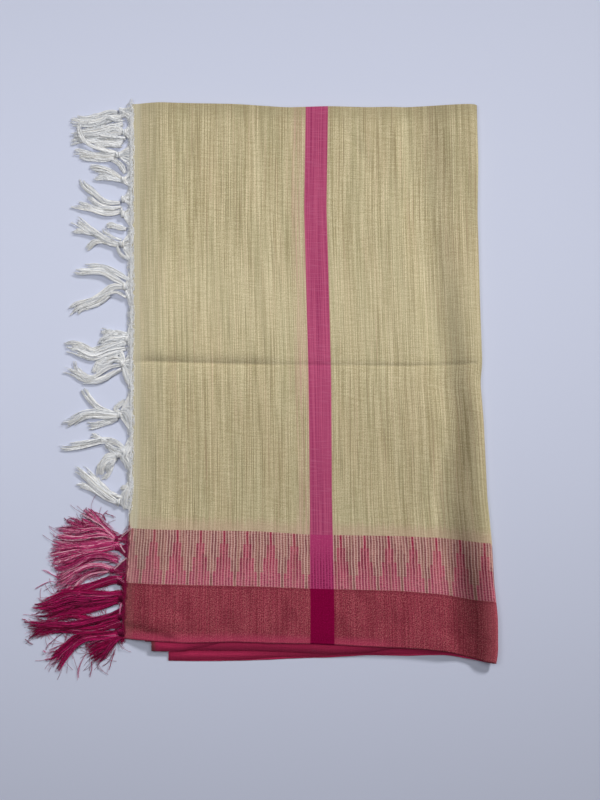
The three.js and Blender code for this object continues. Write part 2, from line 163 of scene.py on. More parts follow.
def waves(x, y):
    total = np.zeros(np.broadcast(x, y).shape)
    for (x0, y0), (x1, y1), height, left, right in WAVES:
        length = math.hypot(x1 - x0, y1 - y0)
        ax, ay = (x1 - x0) / length, (y1 - y0) / length
        along = ((x - x0) * ax + (y - y0) * ay) / length
        off = (x - x0) * ay - (y - y0) * ax + 1.6 * np.sin(5 * along + x0)
        width = np.where(off < 0, left, right)
        ends = ease(along, -0.12, 0.22) * (1 - ease(along, 0.78, 1.12))
        total += height * ends * np.exp(-(off / width) ** 2)
    return total

def pressed_crease(x, y):
    """The crease that stays from being folded away: wider and deeper in its left half."""
    off = y - edge["crease"](x)
    wide = blend(13.0, 6.5, ease(x, -45, -10)) + 1.2 * np.sin(x / 17)
    depth = 2.1 - 1.2 * ease(x, -50, -20) + 0.3 * ease(x, 20, 40) + 0.15 * np.sin(x / 11 + 1)
    near_wall = 0.3 * np.clip(1 + off / 1.4, 0, 1) + 0.7 * np.clip(1 + off / 16, 0, 1) ** 1.6
    return -depth * np.where(off > 0, np.clip(1 - off / wide, 0, 1) ** 2.6, near_wall)

def top_height(x, y):
    from_left, from_fold = x - side["left"](y), side["fold"](y) - x
    lift, ridge, trough = side["lift"](y), side["ridge"](y), side["trough"](y)
    into = side["trough_at"](y) - from_fold        # toward the fold from the bottom of the trough
    left_side = blend(FRINGE_EDGE, STACK, ease(from_left, 0, 30) ** 0.8)
    up_to_ridge = ease(into / side["trough_at"](y), 0.15, 0.7)
    right_side = np.where(into > 0, blend(trough, ridge, up_to_ridge),
                          blend(trough, STACK, ease(-into, 1, 18)))
    right_side = blend(FOLD_HEIGHT + 0.6 * lift, right_side, ease(from_fold, 0, 7))
    near_gap = y - edge["top"](x)
    drop = (0.5 * (1 - ease(edge["far"](x) - y, 0, 8)) + 0.5 * (1 - ease(near_gap, 0, 10))
            + 0.2 * np.clip(-near_gap, 0, None))
    calm = ease(from_left, 0, 20) * ease(from_fold, 2, 8)
    form = waves(x, y) + pressed_crease(x, y) - drop
    return np.minimum(left_side, right_side) + calm * form

def painted_shade_amount(x, y):
    """Painted shade, 0 to 1: along the crease, beside the right fold and in the near left corner."""
    off = y - edge["crease"](x)
    wide = blend(9.0, 5.0, ease(x, -45, -10))
    # painted shade on the far side of the crease
    crease_shade = blend(0.14, 0.0, ease(x, -45, -10)) * np.clip(1 - off / wide, 0, 1) ** 1.3
    crease_shade = np.where(off > -0.8, crease_shade, 0)
    far_out = (side["fold"](y) - x - 0.6 * side["trough_at"](y)) / side["painted_shade_wide"](y)
    under_line = y - np.interp(x, (-162, -144, -127, -110), (-203.4, -207.2, -211.4, -215.6))
    # painted shade along a line in the near left corner of the border
    corner_shade = 0.42 * np.exp(-(under_line / 2.4) ** 2) * ease(x, -164, -158) * (1 - ease(x, -118, -108))
    crease_shade = np.maximum(crease_shade, corner_shade)
    return np.maximum(crease_shade, side["painted_shade"](y) * np.exp(-np.abs(far_out) ** 2.2))

def floor_lift(x, y):
    """The raised near right corner lifts the underside too."""
    return side["lift"](y) * (1 - ease(side["fold"](y) - x, 0, 62))

print("upper face at the middle", round(float(top_height(-60.0, 100.0)), 2), "mm")

# %% [markdown]
# The cloth is described as it was cut: u runs along the warp from the fringed end, v across from
# one selvedge to the other, and v = 457 mm is the doubling fold. Giving every point its place on
# the flat cloth makes the woven stripe and borders go round the folds by themselves. The other
# way, painting by the place in the room, would break at each fold.

# %% From the flat cloth to the folded one
WIDTH, HALF = 914.0, 457.0             # selvedge to selvedge, and to the doubling fold, mm
BORDER, BAND_TOP = 48.0, 94.5          # tops of the border and of the band, from a selvedge
STRIPE = (153.0, 172.5)                # cross stripe, from the fringed end
TURN_U = 300.9                         # where the right fold begins
TURN_RUN = math.pi * 2.3               # the cloth that goes round it
UNDER_END, UNDER_RUN = -120, 266       # where the underside stretch stops, and its length
LEAF = 0.32                            # thickness of one leaf of cloth
UPPER, LOWER = 0.2, 0.85               # depth of a lap's two leaves under its outer face
TURN = (LOWER - UPPER) / 2             # radius of the doubling fold
QUARTER = 1.57                         # a quarter turn, rounded down
NEAR_EDGE = -220                       # first guess of a selvedge's y, which the loops refine

def across(v, near, border, band, far):
    """Y of a point v across the cloth, and its depth in the doubled lap."""
    w = np.minimum(v, WIDTH - v)
    bend = np.clip((v - HALF) / (math.pi * TURN / 2), -1, 1) * math.pi / 2
    on_body = (w - BAND_TOP) / (HALF - BAND_TOP - QUARTER * TURN)
    y = np.where(w < BORDER, blend(near, border, w / BORDER),
                 np.where(w < BAND_TOP, blend(border, band, (w - BORDER) / (BAND_TOP - BORDER)),
                          blend(band, far - TURN, on_body)))
    y = np.minimum(y, far - TURN)
    y = np.where(np.abs(bend) < QUARTER, far - TURN + TURN * np.cos(bend), y)
    return y, blend(UPPER, LOWER, (np.sin(bend) + 1) / 2)

def wavy(t, size, seed):
    return size * (np.sin(t / 23 + seed) + 0.6 * np.sin(t / 9.1 + 2.3 * seed)
                   + 0.3 * np.sin(t / 3.7 + seed)) / 1.9

def outer_stretch(u, v):
    """Over the top, round the right fold and back underneath."""
    y = np.minimum(v, WIDTH - v) + NEAR_EDGE
    depth = 0 * u + UPPER
    spin = np.clip((u - TURN_U) / TURN_RUN, 0, 1) * math.pi
    k = spin / math.pi
    second_leaf = ease(v, HALF, HALF + 4)
    for _ in range(4):
        left, fold = side["left"](y), side["fold"](y)
        s0, s1 = side["stripe_left"](y), side["stripe_right"](y)
        radius = (FOLD_HEIGHT - 0.4 * side["lift"](y)) / 2
        on_stripe = (u - STRIPE[0]) / (STRIPE[1] - STRIPE[0])
        over = np.where(u < STRIPE[0], blend(left, s0, u / STRIPE[0]),
                        np.where(u < STRIPE[1], blend(s0, s1, on_stripe),
                                 blend(s1, fold - radius, (u - STRIPE[1]) / (TURN_U - STRIPE[1]))))
        round_x = fold - radius + (radius - depth) * np.sin(spin)
        back = blend(fold - radius, UNDER_END + wavy(y, 0.6, 5),
                     (u - TURN_U - TURN_RUN) / UNDER_RUN)
        x = np.where(u <= TURN_U, over, np.where(spin < math.pi, round_x, back))
        tucked = 1.4 + wavy(x, 0.5, 2)
        near = blend(edge["top"](x), edge["under"](x), k) + second_leaf * tucked
        near = near + wavy(x, 0.35, 1) * (1 - second_leaf)
        border = blend(edge["border"](x), edge["under"](x) + BORDER, k)
        band = blend(edge["band_top"](x), edge["under"](x) + BAND_TOP, k)
        y, depth = across(v, near, border, band, edge["far"](x) - 0.1)
    z = np.where(u <= TURN_U, top_height(x, y) - depth,
                 np.where(spin < math.pi,
                          side["lift"](y) + radius + (radius - depth) * np.cos(spin),
                          floor_lift(x, y) + depth + np.minimum(0.6 * np.abs(waves(x, y)), 0.5)))
    return x, y, z

def steps(start, end, size):
    count = max(1, round(abs(end - start) / size))
    return list(np.linspace(start, end, count, endpoint=False))

U_END = TURN_U + TURN_RUN + UNDER_RUN
outer_u = (steps(0, 24, 1.6) + steps(24, 252, 2.7) + steps(252, TURN_U, 1.9)
           + steps(TURN_U, TURN_U + TURN_RUN, 0.75) + steps(TURN_U + TURN_RUN, U_END, 7) + [U_END])
BAND_Y, CREASE_Y, FAR_Y = -128, 14.7, 237.5       # mean places of three lines on the packet
crease_v = BAND_TOP + (HALF - BAND_TOP) * (CREASE_Y - BAND_Y) / (FAR_Y - BAND_Y)
outer_v = (steps(0, 6, 1.2) + steps(6, crease_v - 9, 2.7) + steps(crease_v - 9, crease_v + 12, 1.0)
           + steps(crease_v + 12, HALF - 3, 2.7) + steps(HALF - 3, HALF - 0.6, 0.8)
           + list(np.linspace(HALF - 0.6, HALF + 0.6, 7)) + steps(HALF + 3, WIDTH, 9) + [WIDTH])
print("outer stretch", len(outer_u), "by", len(outer_v), "points")

# %% [markdown]
# A leaf of cloth is a grid of points with a Solidify modifier, which gives it a wall and rounded
# light at its edges. Its UV map holds the place on the flat cloth, in metres. Each point also
# carries an amount of painted shade, which the weave lays over its colour.

# %% A sheet of cloth from its flat grid
def new_piece(name, points, faces, uv, uv_name):
    mesh = bpy.data.meshes.new(name)
    mesh.from_pydata([], [], [])
    mesh.vertices.add(len(points))
    mesh.vertices.foreach_set("co", np.asarray(points, np.float32).ravel())
    size = faces.shape[1]
    mesh.loops.add(faces.size)
    mesh.loops.foreach_set("vertex_index", faces.ravel().astype(np.int32))
    mesh.polygons.add(len(faces))
    mesh.polygons.foreach_set("loop_start", np.arange(0, faces.size, size, dtype=np.int32))
    mesh.update(calc_edges=True)
    layer = mesh.uv_layers.new(name=uv_name)
    layer.data.foreach_set("uv", np.asarray(uv, np.float32)[faces.ravel()].ravel())
    mesh.shade_smooth()
    piece = bpy.data.objects.new(name, mesh)
    bpy.context.collection.objects.link(piece)
    return piece

def grid_faces(rows, cols):
    i, j = np.meshgrid(np.arange(rows - 1), np.arange(cols - 1), indexing="ij")
    a = (i * cols + j).ravel()
    return np.stack([a, a + 1, a + cols + 1, a + cols], axis=1)

def cloth_sheet(name, u_places, v_places, place, u_start=0.0):
    u, v = np.meshgrid(np.array(u_places), np.array(v_places))
    x, y, z = place(u, v)
    points = np.stack([x, y, z], axis=-1).reshape(-1, 3) * MM
    uv = np.stack([u + u_start, v], axis=-1).reshape(-1, 2) * MM
    piece = new_piece(name, points, grid_faces(*u.shape), uv, "flat")
    # painted shade, on the upper face of the outer stretch only
    shade = painted_shade_amount(x, y) * (u < TURN_U) * (name == "outer_stretch")
    layer = piece.data.attributes.new("painted_shade", "FLOAT", "POINT")
    layer.data.foreach_set("value", shade.ravel().astype(np.float32))
    wall = piece.modifiers.new("leaf", "SOLIDIFY")
    wall.thickness, wall.offset = LEAF * MM, 0
    return piece

outer = cloth_sheet("outer_stretch", outer_u, outer_v, outer_stretch)
print("outer stretch faces", len(outer.data.polygons))

# %% [markdown]
# Under it lies a second lap, whose crimson edge shows along the near side, and under that the
# inner laps. Each is a doubled leaf of its own, so that the packet's sides show real layers. Little
# of them shows, so a coarse grid is enough.

# %% The laps underneath
LAP_RUN = 270                          # length of a lap on the grid, mm
SECOND_START, INNER_START = 585, 600   # where on the whole cloth the laps begin
CORE_LAPS = 5
CORE_LEAVES = 0.4                      # how far apart the leaves of an inner lap lie, as a share

def inner_lap(depth, near_upper, near_lower, left_at, right_at, seed, in_core):
    """A doubled lap that follows the upper face at a depth, or lies level in the core."""
    def place(u, v):
        y = np.minimum(v, WIDTH - v) + NEAR_EDGE - 2
        second_leaf = ease(v, HALF, HALF + 4)
        for _ in range(3):
            x = blend(left_at(y), right_at(y), u / LAP_RUN)
            near = blend(near_upper(x), near_lower(x), second_leaf) + wavy(x, 0.35, seed)
            y, leaf = across(v, near, near + BORDER, near + BAND_TOP,
                             edge["far"](x) - 0.6 - 0.5 * depth + wavy(x, 0.3, seed + 1))
        leaf = UPPER + (leaf - UPPER) * (CORE_LEAVES if in_core else 1)
        z = top_height(x, y) - depth - leaf
        if in_core:
            share = (depth - 2 * LAP) / (STACK - 3 * LAP)
            z = blend(top_height(x, y) - 2 * LAP, LAP, share) - leaf * 0.8
        return x, y, z
    return place

LAP_U = steps(0, LAP_RUN, 9) + [LAP_RUN]
LAP_V = (steps(0, HALF - 4, 7) + [HALF - 4, HALF - 1.5]
         + list(np.linspace(HALF - 0.6, HALF + 0.6, 5)) + steps(HALF + 3, WIDTH, 9) + [WIDTH])
second = cloth_sheet("second_lap", LAP_U, LAP_V,
                     inner_lap(LAP, edge["second"], edge["tucked"], side["second_left"],
                               lambda y: side["fold"](y) - side["inner"](y), 3, False), SECOND_START)
core_laps = []
for n, inset in enumerate((0.6, 1.6, 0.2, 2.1, 1.0)):
    lap = inner_lap(2 * LAP + n * (STACK - 3 * LAP) / CORE_LAPS,
                    lambda x, s=inset: edge["core"](x) + s, lambda x, s=inset: edge["core"](x) + s + 1,
                    lambda y, s=inset: side["left"](y) + 19 + s,
                    lambda y, s=inset: side["fold"](y) - np.maximum(28, side["inner"](y) + 2) - s,
                    5 + n, True)
    core_laps.append(cloth_sheet(f"inner_lap_{n + 1}", LAP_U, LAP_V, lap, INNER_START if n else 0))
print("laps underneath", 1 + len(core_laps))

# %% [markdown]
# The weave is all in one material, drawn by rules on the flat place of each point. Beige slub
# yarns run across the cloth, a magenta stripe crosses it, and along both selvedges lie a band of
# stepped temple spires and a crimson border. The sums are long as nodes, so a small helper turns
# plain arithmetic into Math nodes.

# %% A helper that writes arithmetic as nodes
def linear(r, g, b):
    return tuple(((c / 255 + 0.055) / 1.055) ** 2.4 if c > 10 else c / 255 / 12.92
                 for c in (r, g, b)) + (1,)

class Value:
    """A number in a material; sums, products and steps of it become Math nodes."""
    def __init__(self, tree, socket):
        self.tree, self.socket = tree, socket

    def math(self, operation, *others):
        node = self.tree.nodes.new("ShaderNodeMath")
        node.operation = operation
        for k, term in enumerate((self, *others)):
            if isinstance(term, Value):
                self.tree.links.new(term.socket, node.inputs[k])
            else:
                node.inputs[k].default_value = term
        return Value(self.tree, node.outputs[0])

    def __add__(self, other): return self.math("ADD", other)
    def __sub__(self, other): return self.math("SUBTRACT", other)
    def __mul__(self, other): return self.math("MULTIPLY", other)
    def __truediv__(self, other): return self.math("DIVIDE", other)
    def fract(self): return self.math("FRACT")
    def floor(self): return self.math("FLOOR")
    def size(self): return self.math("ABSOLUTE")
    def least(self, other): return self.math("MINIMUM", other)

    def rise(self, start, end):
        """0 before start, 1 past end, smooth between."""
        node = self.tree.nodes.new("ShaderNodeMapRange")
        node.interpolation_type = "SMOOTHSTEP"
        self.tree.links.new(self.socket, node.inputs["Value"])
        node.inputs["From Min"].default_value = start
        node.inputs["From Max"].default_value = end
        return Value(self.tree, node.outputs[0])

    def fall(self, start, end):
        """1 before start, 0 past end."""
        return (self * -1).rise(-end, -start)

    def inside(self, start, end, soft):
        return self.rise(start - soft, start + soft) * self.fall(end - soft, end + soft)

def flat_place(tree, uv_name):
    """U and V of the flat cloth, in millimetres."""
    node = tree.nodes.new("ShaderNodeUVMap")
    node.uv_map = uv_name
    split = tree.nodes.new("ShaderNodeSeparateXYZ")
    tree.links.new(node.outputs[0], split.inputs[0])
    return Value(tree, split.outputs[0]) * 1000, Value(tree, split.outputs[1]) * 1000

def speckle(u, v, u_size, v_size, seed, detail):
    """Noise whose grains are u_size by v_size millimetres."""
    join = u.tree.nodes.new("ShaderNodeCombineXYZ")
    x, y = u / u_size, v / v_size          # leaned over a little, or the noise's calm rows show
    u.tree.links.new((x + y * 0.31).socket, join.inputs[0])
    u.tree.links.new((y + x * 0.2).socket, join.inputs[1])
    join.inputs[2].default_value = seed
    node = u.tree.nodes.new("ShaderNodeTexNoise")
    node.inputs["Scale"].default_value = 1
    node.inputs["Detail"].default_value = detail
    u.tree.links.new(join.outputs[0], node.inputs["Vector"])
    return Value(u.tree, node.outputs["Fac"])

def paint(under, over, amount):
    """Lays one colour over another by an amount; a colour is (red, green, blue) or a socket."""
    tree = amount.tree
    node = tree.nodes.new("ShaderNodeMix")
    node.data_type = "RGBA"
    tree.links.new(amount.socket, node.inputs["Factor"])
    for name, colour in (("A", under), ("B", over)):
        socket = next(s for s in node.inputs if s.name == name and s.type == "RGBA")
        if isinstance(colour, tuple):
            socket.default_value = linear(*colour)
        else:
            tree.links.new(colour, socket)
    return next(s for s in node.outputs if s.type == "RGBA")

def coats(colour, *layers):
    """Paints the layers, each a colour and an amount, over a first colour in turn."""
    for over, amount in layers:
        colour = paint(colour, over, amount)
    return colour

def finish_cloth(material, colour, height, bump, roughness, sheen, specular):
    """Gives a material its colour and a bump of so many millimetres."""
    tree = material.node_tree
    shader = tree.nodes["Principled BSDF"]
    tree.links.new(colour, shader.inputs["Base Color"])
    shader.inputs["Roughness"].default_value = roughness
    shader.inputs["Specular IOR Level"].default_value = specular
    shader.inputs["Sheen Weight"].default_value = sheen
    shader.inputs["Sheen Roughness"].default_value = 0.5
    node = tree.nodes.new("ShaderNodeBump")
    node.inputs["Strength"].default_value = 1.0
    node.inputs["Distance"].default_value = bump * MM
    tree.links.new(height.socket, node.inputs["Height"])
    tree.links.new(node.outputs[0], shader.inputs["Normal"])

print("beige as linear light", [round(c, 3) for c in linear(184, 172, 137)])

# %% [markdown]
# The weave is handspun cotton, thick and thin. Every weft yarn runs right across the cloth, so the
# colour streaks are thin along u and long along v, with finer warp lines the other way. Four such
# noises of different grain are kept and shared by the body, the stripe, the band and the border,
# because in real cloth the same yarns pass through all of them.

# %% Yarns that every part of the weave shares
weave = bpy.data.materials.new("woven_cloth")
weave.use_nodes = True
tree = weave.node_tree
u, v = flat_place(tree, "flat")
w = v.least(v * -1 + WIDTH)                       # from the nearer selvedge
thread = speckle(u, v, 0.72, 120, 1, 2)
slub = speckle(u, v, 1.8, 62, 5, 2)
warp_line = speckle(u, v, 13, 0.8, 3, 1)
grain = speckle(u, v, 0.8, 1.1, 11, 1)
print("noises ready")

# %% [markdown]
# The body is a mixed beige: cream and olive wefts and a few pinkish ones, with painted shade
# along the doubling fold. Left of the stripe the pink wefts crowd together.

# %% The beige body
dark_weft = speckle(u, v, 0.95, 60, 61, 1)
olive = speckle(u, v, 15, 90, 9, 1)
pink_weft = speckle(u, v, 0.9, 80, 17, 1)
before_stripe = u.inside(142.5, STRIPE[0], 2.5) * pink_weft.rise(0.4, 0.6)
above_band = (w * -1 + thread * 18 + slub * 8).rise(-94, -85)
body = coats(
    paint((163, 149, 114), (220, 207, 171), thread.rise(0.35, 0.65)),
    ((156, 144, 104), slub.rise(0.5, 0.68) * 0.4),
    ((228, 216, 178), slub.fall(0.3, 0.44) * 0.32),
    ((144, 132, 96), grain.rise(0.52, 0.68) * 0.55),
    ((226, 216, 180), grain.fall(0.3, 0.44) * 0.45),
    ((158, 145, 106), warp_line.rise(0.5, 0.66) * 0.3),
    ((222, 211, 174), warp_line.fall(0.34, 0.46) * 0.26),
    ((134, 121, 88), dark_weft.rise(0.57, 0.68) * 0.55),
    ((172, 168, 132), olive.rise(0.48, 0.62) * 0.16),
    ((200, 178, 142), olive.fall(0.34, 0.46) * 0.12),
    ((196, 158, 138), pink_weft.rise(0.56, 0.7) * 0.22),
    ((200, 158, 146), before_stripe * 0.5),
    ((144, 132, 102), (v - HALF).size().fall(2, 17) * 0.4),      # painted shade along the doubling fold
    ((132, 118, 88), w.inside(112, 200, 30) * 0.1),              # a darker and a lighter length
    ((232, 220, 184), w.inside(250, 325, 30) * 0.14),
    # painted shade beside the right fold, in the upper half
    ((138, 126, 96), u.rise(TURN_U - 20, TURN_U - 3) * v.rise(200, 260) * 0.13),
    ((194, 160, 142), above_band * 0.42))
print("body colour ready")

# %% [markdown]
# The band of temple spires repeats every 19.5 mm in eight ribs. A spire stands highest on its
# middle rib and steps down by a quarter on each rib beside it. Between the ribs a pale warp line
# always shows, also in the plain ground, which is what makes the band look ribbed.

# %% The spire band
SPIRE, RIBS = 19.5, 8                                # a spire's width in mm, and its ribs
STEP_DOWN = 0.2535                                   # from rib to rib, of the band's height
drift = (speckle(u, v, 30, 14, 71, 1) - 0.5) * 1.1   # hand weaving wanders a little
repeat = ((u + drift - 22.9) / SPIRE + 4.5 / RIBS).fract() * RIBS
rib = repeat.floor()
beside = (rib - 4).size()
down = (w * -1 + BAND_TOP) / (BAND_TOP - BORDER)     # 0 at the band's top, 1 at the border
step = beside * STEP_DOWN - 0.02 + (beside - 3).rise(0.2, 0.8) * 0.3
spire = (down - step).rise(-0.006, 0.006)
off_rib = (repeat.fract() - 0.5).size()
between_ribs = off_rib.rise(0.2, 0.42)
rib_shade = speckle(rib * 3.7 + (u / SPIRE).floor() * 11, v, 1, 30, 31, 1).rise(0.4, 0.6)
ground = paint((172, 122, 112), (134, 82, 82), rib_shade)
dark_rib = coats(
    paint((176, 70, 94), (130, 32, 62), rib_shade),
    ((150, 24, 62), beside.fall(0.4, 0.6) * down.fall(0.22, 0.3)),       # the tip of the spire
    ((190, 90, 120), down.rise(0.4, 1.0) * 0.5))
dots = (v / 1.9 + rib_shade * 2).fract().rise(0.5, 0.75)
pale_line = paint((224, 186, 176), (220, 148, 156), spire)
pale_amount = between_ribs * (grain.rise(0.35, 0.55) * 0.4 + thread.rise(0.3, 0.6) * 0.25 + 0.36)
band = coats(
    paint(ground, dark_rib, spire),
    ((104, 30, 54), dots * (grain.rise(0.35, 0.6) * 0.6 + 0.1)),
    (pale_line, pale_amount),
    ((218, 176, 164), warp_line.rise(0.54, 0.7) * 0.16),
    ((150, 118, 96), slub.rise(0.5, 0.66) * 0.3),
    ((128, 66, 74), dots * grain.rise(0.4, 0.6) * 0.45),
    ((206, 150, 150), grain.fall(0.32, 0.46) * 0.35))
print("band colour ready")

# %% [markdown]
# The border is crimson, flecked with small pinkish dashes where the warp shows, clouded darker in
# places and more magenta along the selvedge. The cross stripe turns deeper wherever it meets the
# dark warps: plain magenta on the body, ribbed on the band, nearly black red on the border.

# %% The border and the cross stripe
flecks = speckle(u, v, 0.6, 0.85, 51, 1).rise(0.46, 0.62) * (slub.rise(0.35, 0.6) * 0.25 + 0.28)
patches = speckle(u, v, 18, 30, 53, 2).rise(0.48, 0.68)
border = coats(
    paint((134, 42, 60), (164, 62, 82), thread.rise(0.38, 0.62)),
    ((100, 26, 44), dark_weft.rise(0.54, 0.68) * 0.3),
    ((216, 134, 134), flecks),
    ((86, 16, 34), grain.rise(0.46, 0.62) * 0.58),
    ((210, 112, 122), u.inside(TURN_U - 9, TURN_U + 2, 3) * 0.22),       # lighter at the right fold
    ((100, 26, 42), patches * 0.3),
    ((196, 66, 104), w.fall(2, 10) * u.fall(190, 240) * 0.5),            # along the selvedge
    ((106, 28, 48), w.inside(45.6, BORDER, 0.5) * 0.3),
    ((236, 60, 114), u.rise(308, 316) * 0.8),                            # painted light: brighter underneath, where it lies in shade
    ((118, 98, 84), u.inside(582, 588, 2) * 0.55))                       # the second lap's left end

stripe = coats(
    paint((188, 86, 122), (155, 56, 98), thread.rise(0.38, 0.64)),
    ((196, 108, 142), warp_line.rise(0.5, 0.68) * 0.35))
stripe_ribs = off_rib.fall(0.12, 0.3) * down.rise(0.05, 0.7)
stripe_on_band = coats(
    paint((174, 58, 108), (104, 8, 54), stripe_ribs * (dots * 0.4 + rib_shade * 0.3 + 0.3)),
    ((204, 104, 142), grain.fall(0.32, 0.46) * 0.3))
stripe_on_border = paint((124, 0, 53), (138, 2, 64), grain.rise(0.45, 0.65))
print("border and stripe colours ready")

# %% [markdown]
# The zones are laid over each other by their places on the flat cloth. At the fringed end the last
# few millimetres are open and pale, and the border turns brown where its crimson weft runs out.
# Last comes the painted shade along the crease, beside the right fold and in the near left corner.

# %% The weave put together
in_band, in_border = w.inside(BORDER, BAND_TOP, 0.25), w.fall(BORDER - 0.2, BORDER + 0.2)
stripe_here = paint(paint(stripe, stripe_on_band, in_band), stripe_on_border, in_border)
frayed = (u * -1 + slub * 5 + warp_line * 2).rise(-6.2, -2.5)
open_weave = paint((212, 206, 188), (178, 170, 142), thread.rise(0.4, 0.6))
run_out = (u * -1 + thread * 9 - 4.5).rise(-12, -1)
painted_shade = tree.nodes.new("ShaderNodeAttribute")
painted_shade.attribute_name = "painted_shade"
colour = coats(
    paint(paint(body, band, in_band), border, in_border),
    (stripe_here, u.inside(*STRIPE, 0.45)),
    (open_weave, frayed * (in_border * -0.7 + in_band * -0.62 + 0.75)),
    ((104, 58, 54), in_border * run_out * 0.3),
    # paler near the fringed end: paler warp ends there, and painted light on the drooping edge
    ((218, 208, 176), u.fall(4, 44) * (in_border * -1 - in_band * 0.8 + 1) * 0.3),
    # painted shade along the crease, beside the right fold and in the near left corner
    ((44, 20, 16), Value(tree, painted_shade.outputs["Fac"])))
height = thread * 1.2 + slub * 1.2 + warp_line * 0.9 + grain * 0.7 + between_ribs * in_band * 0.4
finish_cloth(weave, colour, height, bump=0.2, roughness=0.9, sheen=0.02, specular=0.05)
for piece in [outer, second, *core_laps]:
    piece.data.materials.append(weave)
print("weave nodes", len(tree.nodes))

# %% [markdown]
# The warp ends beyond the last pick are gathered and knotted into tassels. A smooth rope would miss
# their brushed tips, so a tassel is made of locks, and a lock of many fine yarns, every one a thin
# three-sided tube with its own waves. All yarns of a tassel become one mesh, built from arrays.

# %% Yarns as fine tubes
SIDES = 3                              # of a yarn's tube

def yarn_tubes(name, paths, radii, shades):
    """One mesh from paths (yarns, points, 3) and radii (yarns, points), in mm."""
    ahead = np.gradient(paths, axis=1)
    ahead /= np.linalg.norm(ahead, axis=2, keepdims=True) + 1e-9
    aside = np.cross([0.0, 0.0, 1.0], ahead)
    aside /= np.linalg.norm(aside, axis=2, keepdims=True) + 1e-9
    above = np.cross(ahead, aside)
    count, length = paths.shape[:2]
    turn = np.linspace(0, 2 * math.pi, SIDES, endpoint=False)[None, None, :, None]
    ring = aside[:, :, None] * np.cos(turn) + above[:, :, None] * np.sin(turn)
    points = paths[:, :, None] + ring * radii[:, :, None, None]
    yarn, step, m = np.meshgrid(np.arange(count), np.arange(length - 1), np.arange(SIDES),
                                indexing="ij")
    seat = lambda s, k: ((yarn * length + s) * SIDES + k % SIDES).ravel()
    faces = np.stack([seat(step, m), seat(step, m + 1), seat(step + 1, m + 1),
                      seat(step + 1, m)], axis=1)
    uv = np.empty((count, length, SIDES, 2))
    uv[..., 0] = shades[:, None, None]
    uv[..., 1] = np.linspace(0, 1, length)[None, :, None]
    return new_piece(name, points.reshape(-1, 3) * MM, faces, uv.reshape(-1, 2), "yarn")

def smooth_path(places, count):
    """A rounded line through the places, in even steps, carried on straight at both ends."""
    places = np.vstack([2 * places[0] - places[1], places, 2 * places[-1] - places[-2]])
    run = np.concatenate([[0], np.cumsum(np.hypot(*np.diff(places, axis=0).T))])
    s = np.linspace(run[1], run[-2], count)
    shifts = np.linspace(-1, 1, 5) * 0.05 * run[-1]
    return np.stack([sum(np.interp(s + d, run, places[:, c]) for d in shifts) / 5
                     for c in (0, 1)], axis=1)

print("yarn helpers ready")

# %% [markdown]
# A lock starts narrow at its knot, widens, and parts at its tip into a few fingers of uneven
# length. Its height comes from a level: locks of a higher level cross over the others and come
# down to the surface at their tips.

# %% One lock of yarns
KNOT_Z = 1.9                           # height of the yarns where they are knotted, mm

def lock(path, level, wide, tip, count, rng, fingers, ruffle, radius):
    """Yarns along a path; wide and tip are half widths, and ruffle is the size of the waves."""
    t = np.linspace(0, 1, len(path))
    ahead = np.gradient(path, axis=0)
    ahead /= np.linalg.norm(ahead, axis=1, keepdims=True)
    aside = np.stack([-ahead[:, 1], ahead[:, 0]], axis=1)
    place = rng.uniform(-1, 1, count)
    finger = np.floor((place + 1) / 2 * fingers).astype(int)
    middle = (finger + 0.5) / fingers * 2 - 1
    straight = place[:, None] * blend(0.62 * wide, wide, ease(t, 0, 0.3))[None]
    parted = (middle * tip + (place - middle) * 0.55 * wide)[:, None]
    across_lock = blend(straight, parted, ease(t, 0.45, 1)[None])
    for k in range(3):
        phase, rate = rng.uniform(0, 6.28, (count, 1)), 6 + 7 * k + 5 * rng.random((count, 1))
        across_lock = across_lock + ruffle / (1 + k) * np.sin(rate * t + phase) * (0.3 + t)
    reach = 1 - 0.08 * rng.random(count) ** 2 - (0.2 * rng.random(fingers + 1))[finger]
    here = t[None] * reach[:, None]
    x, y = (np.interp(here, t, path[:, c]) for c in (0, 1))
    side_x, side_y = (np.interp(here, t, aside[:, c]) for c in (0, 1))
    rest = blend(blend(KNOT_Z, 0.9 + 0.8 * level, ease(t, 0, 0.3)), 0.65 + 0.35 * level,
                 ease(t, 0.55, 1))
    deep = 0.95 * np.sqrt(1 - 0.8 * place ** 2) * rng.uniform(-1, 1, count)
    z = rest[None] + deep[:, None] * (1 - 0.4 * t)[None]
    thick = radius * rng.uniform(0.8, 1.2, (count, 1)) * (1 - 0.4 * ease(t, 0.8, 1))[None]
    paths = np.stack([x + across_lock * side_x, y + across_lock * side_y,
                      np.maximum(z, thick + 0.02)], axis=-1)
    return paths, thick

def single(x, y, z, radius):
    """Paths and radii of single yarns, in the form in which a lock gives them."""
    return np.stack([x, y, z], axis=-1), radius * np.ones_like(x)

def on_edge(knot, share, count, rng):
    """Places in a tassel's share of the cloth's edge, which reaches up and down from its knot."""
    return blend(knot[1] - share[1], knot[1] + share[0], rng.random((count, 1)))

def edge_fan(knot, share, count, rng, radius, points):
    """Warp ends from the cloth's edge, gathered to the knot."""
    start = on_edge(knot, share, count, rng)
    t = np.linspace(0, 1, points)[None]
    x0 = side["left"](start) + 1.5
    x1 = blend(x0, knot[0], 0.45 + 0.2 * rng.random((count, 1)))
    x2, y2 = knot[0] + rng.normal(0, 0.5, (count, 1)), knot[1] + rng.normal(0, 0.8, (count, 1))
    y1 = blend(start, y2, 0.25 + 0.2 * rng.random((count, 1))) + rng.normal(0, 0.5, (count, 1))
    x = (1 - t) ** 2 * x0 + 2 * t * (1 - t) * x1 + t * t * x2
    y = (1 - t) ** 2 * start + 2 * t * (1 - t) * y1 + t * t * y2
    z = blend(1.45, KNOT_Z, t) + rng.normal(0, 0.3, (count, 1)) * np.sin(t * math.pi)
    return single(x, y, np.maximum(z, 0.4), radius)

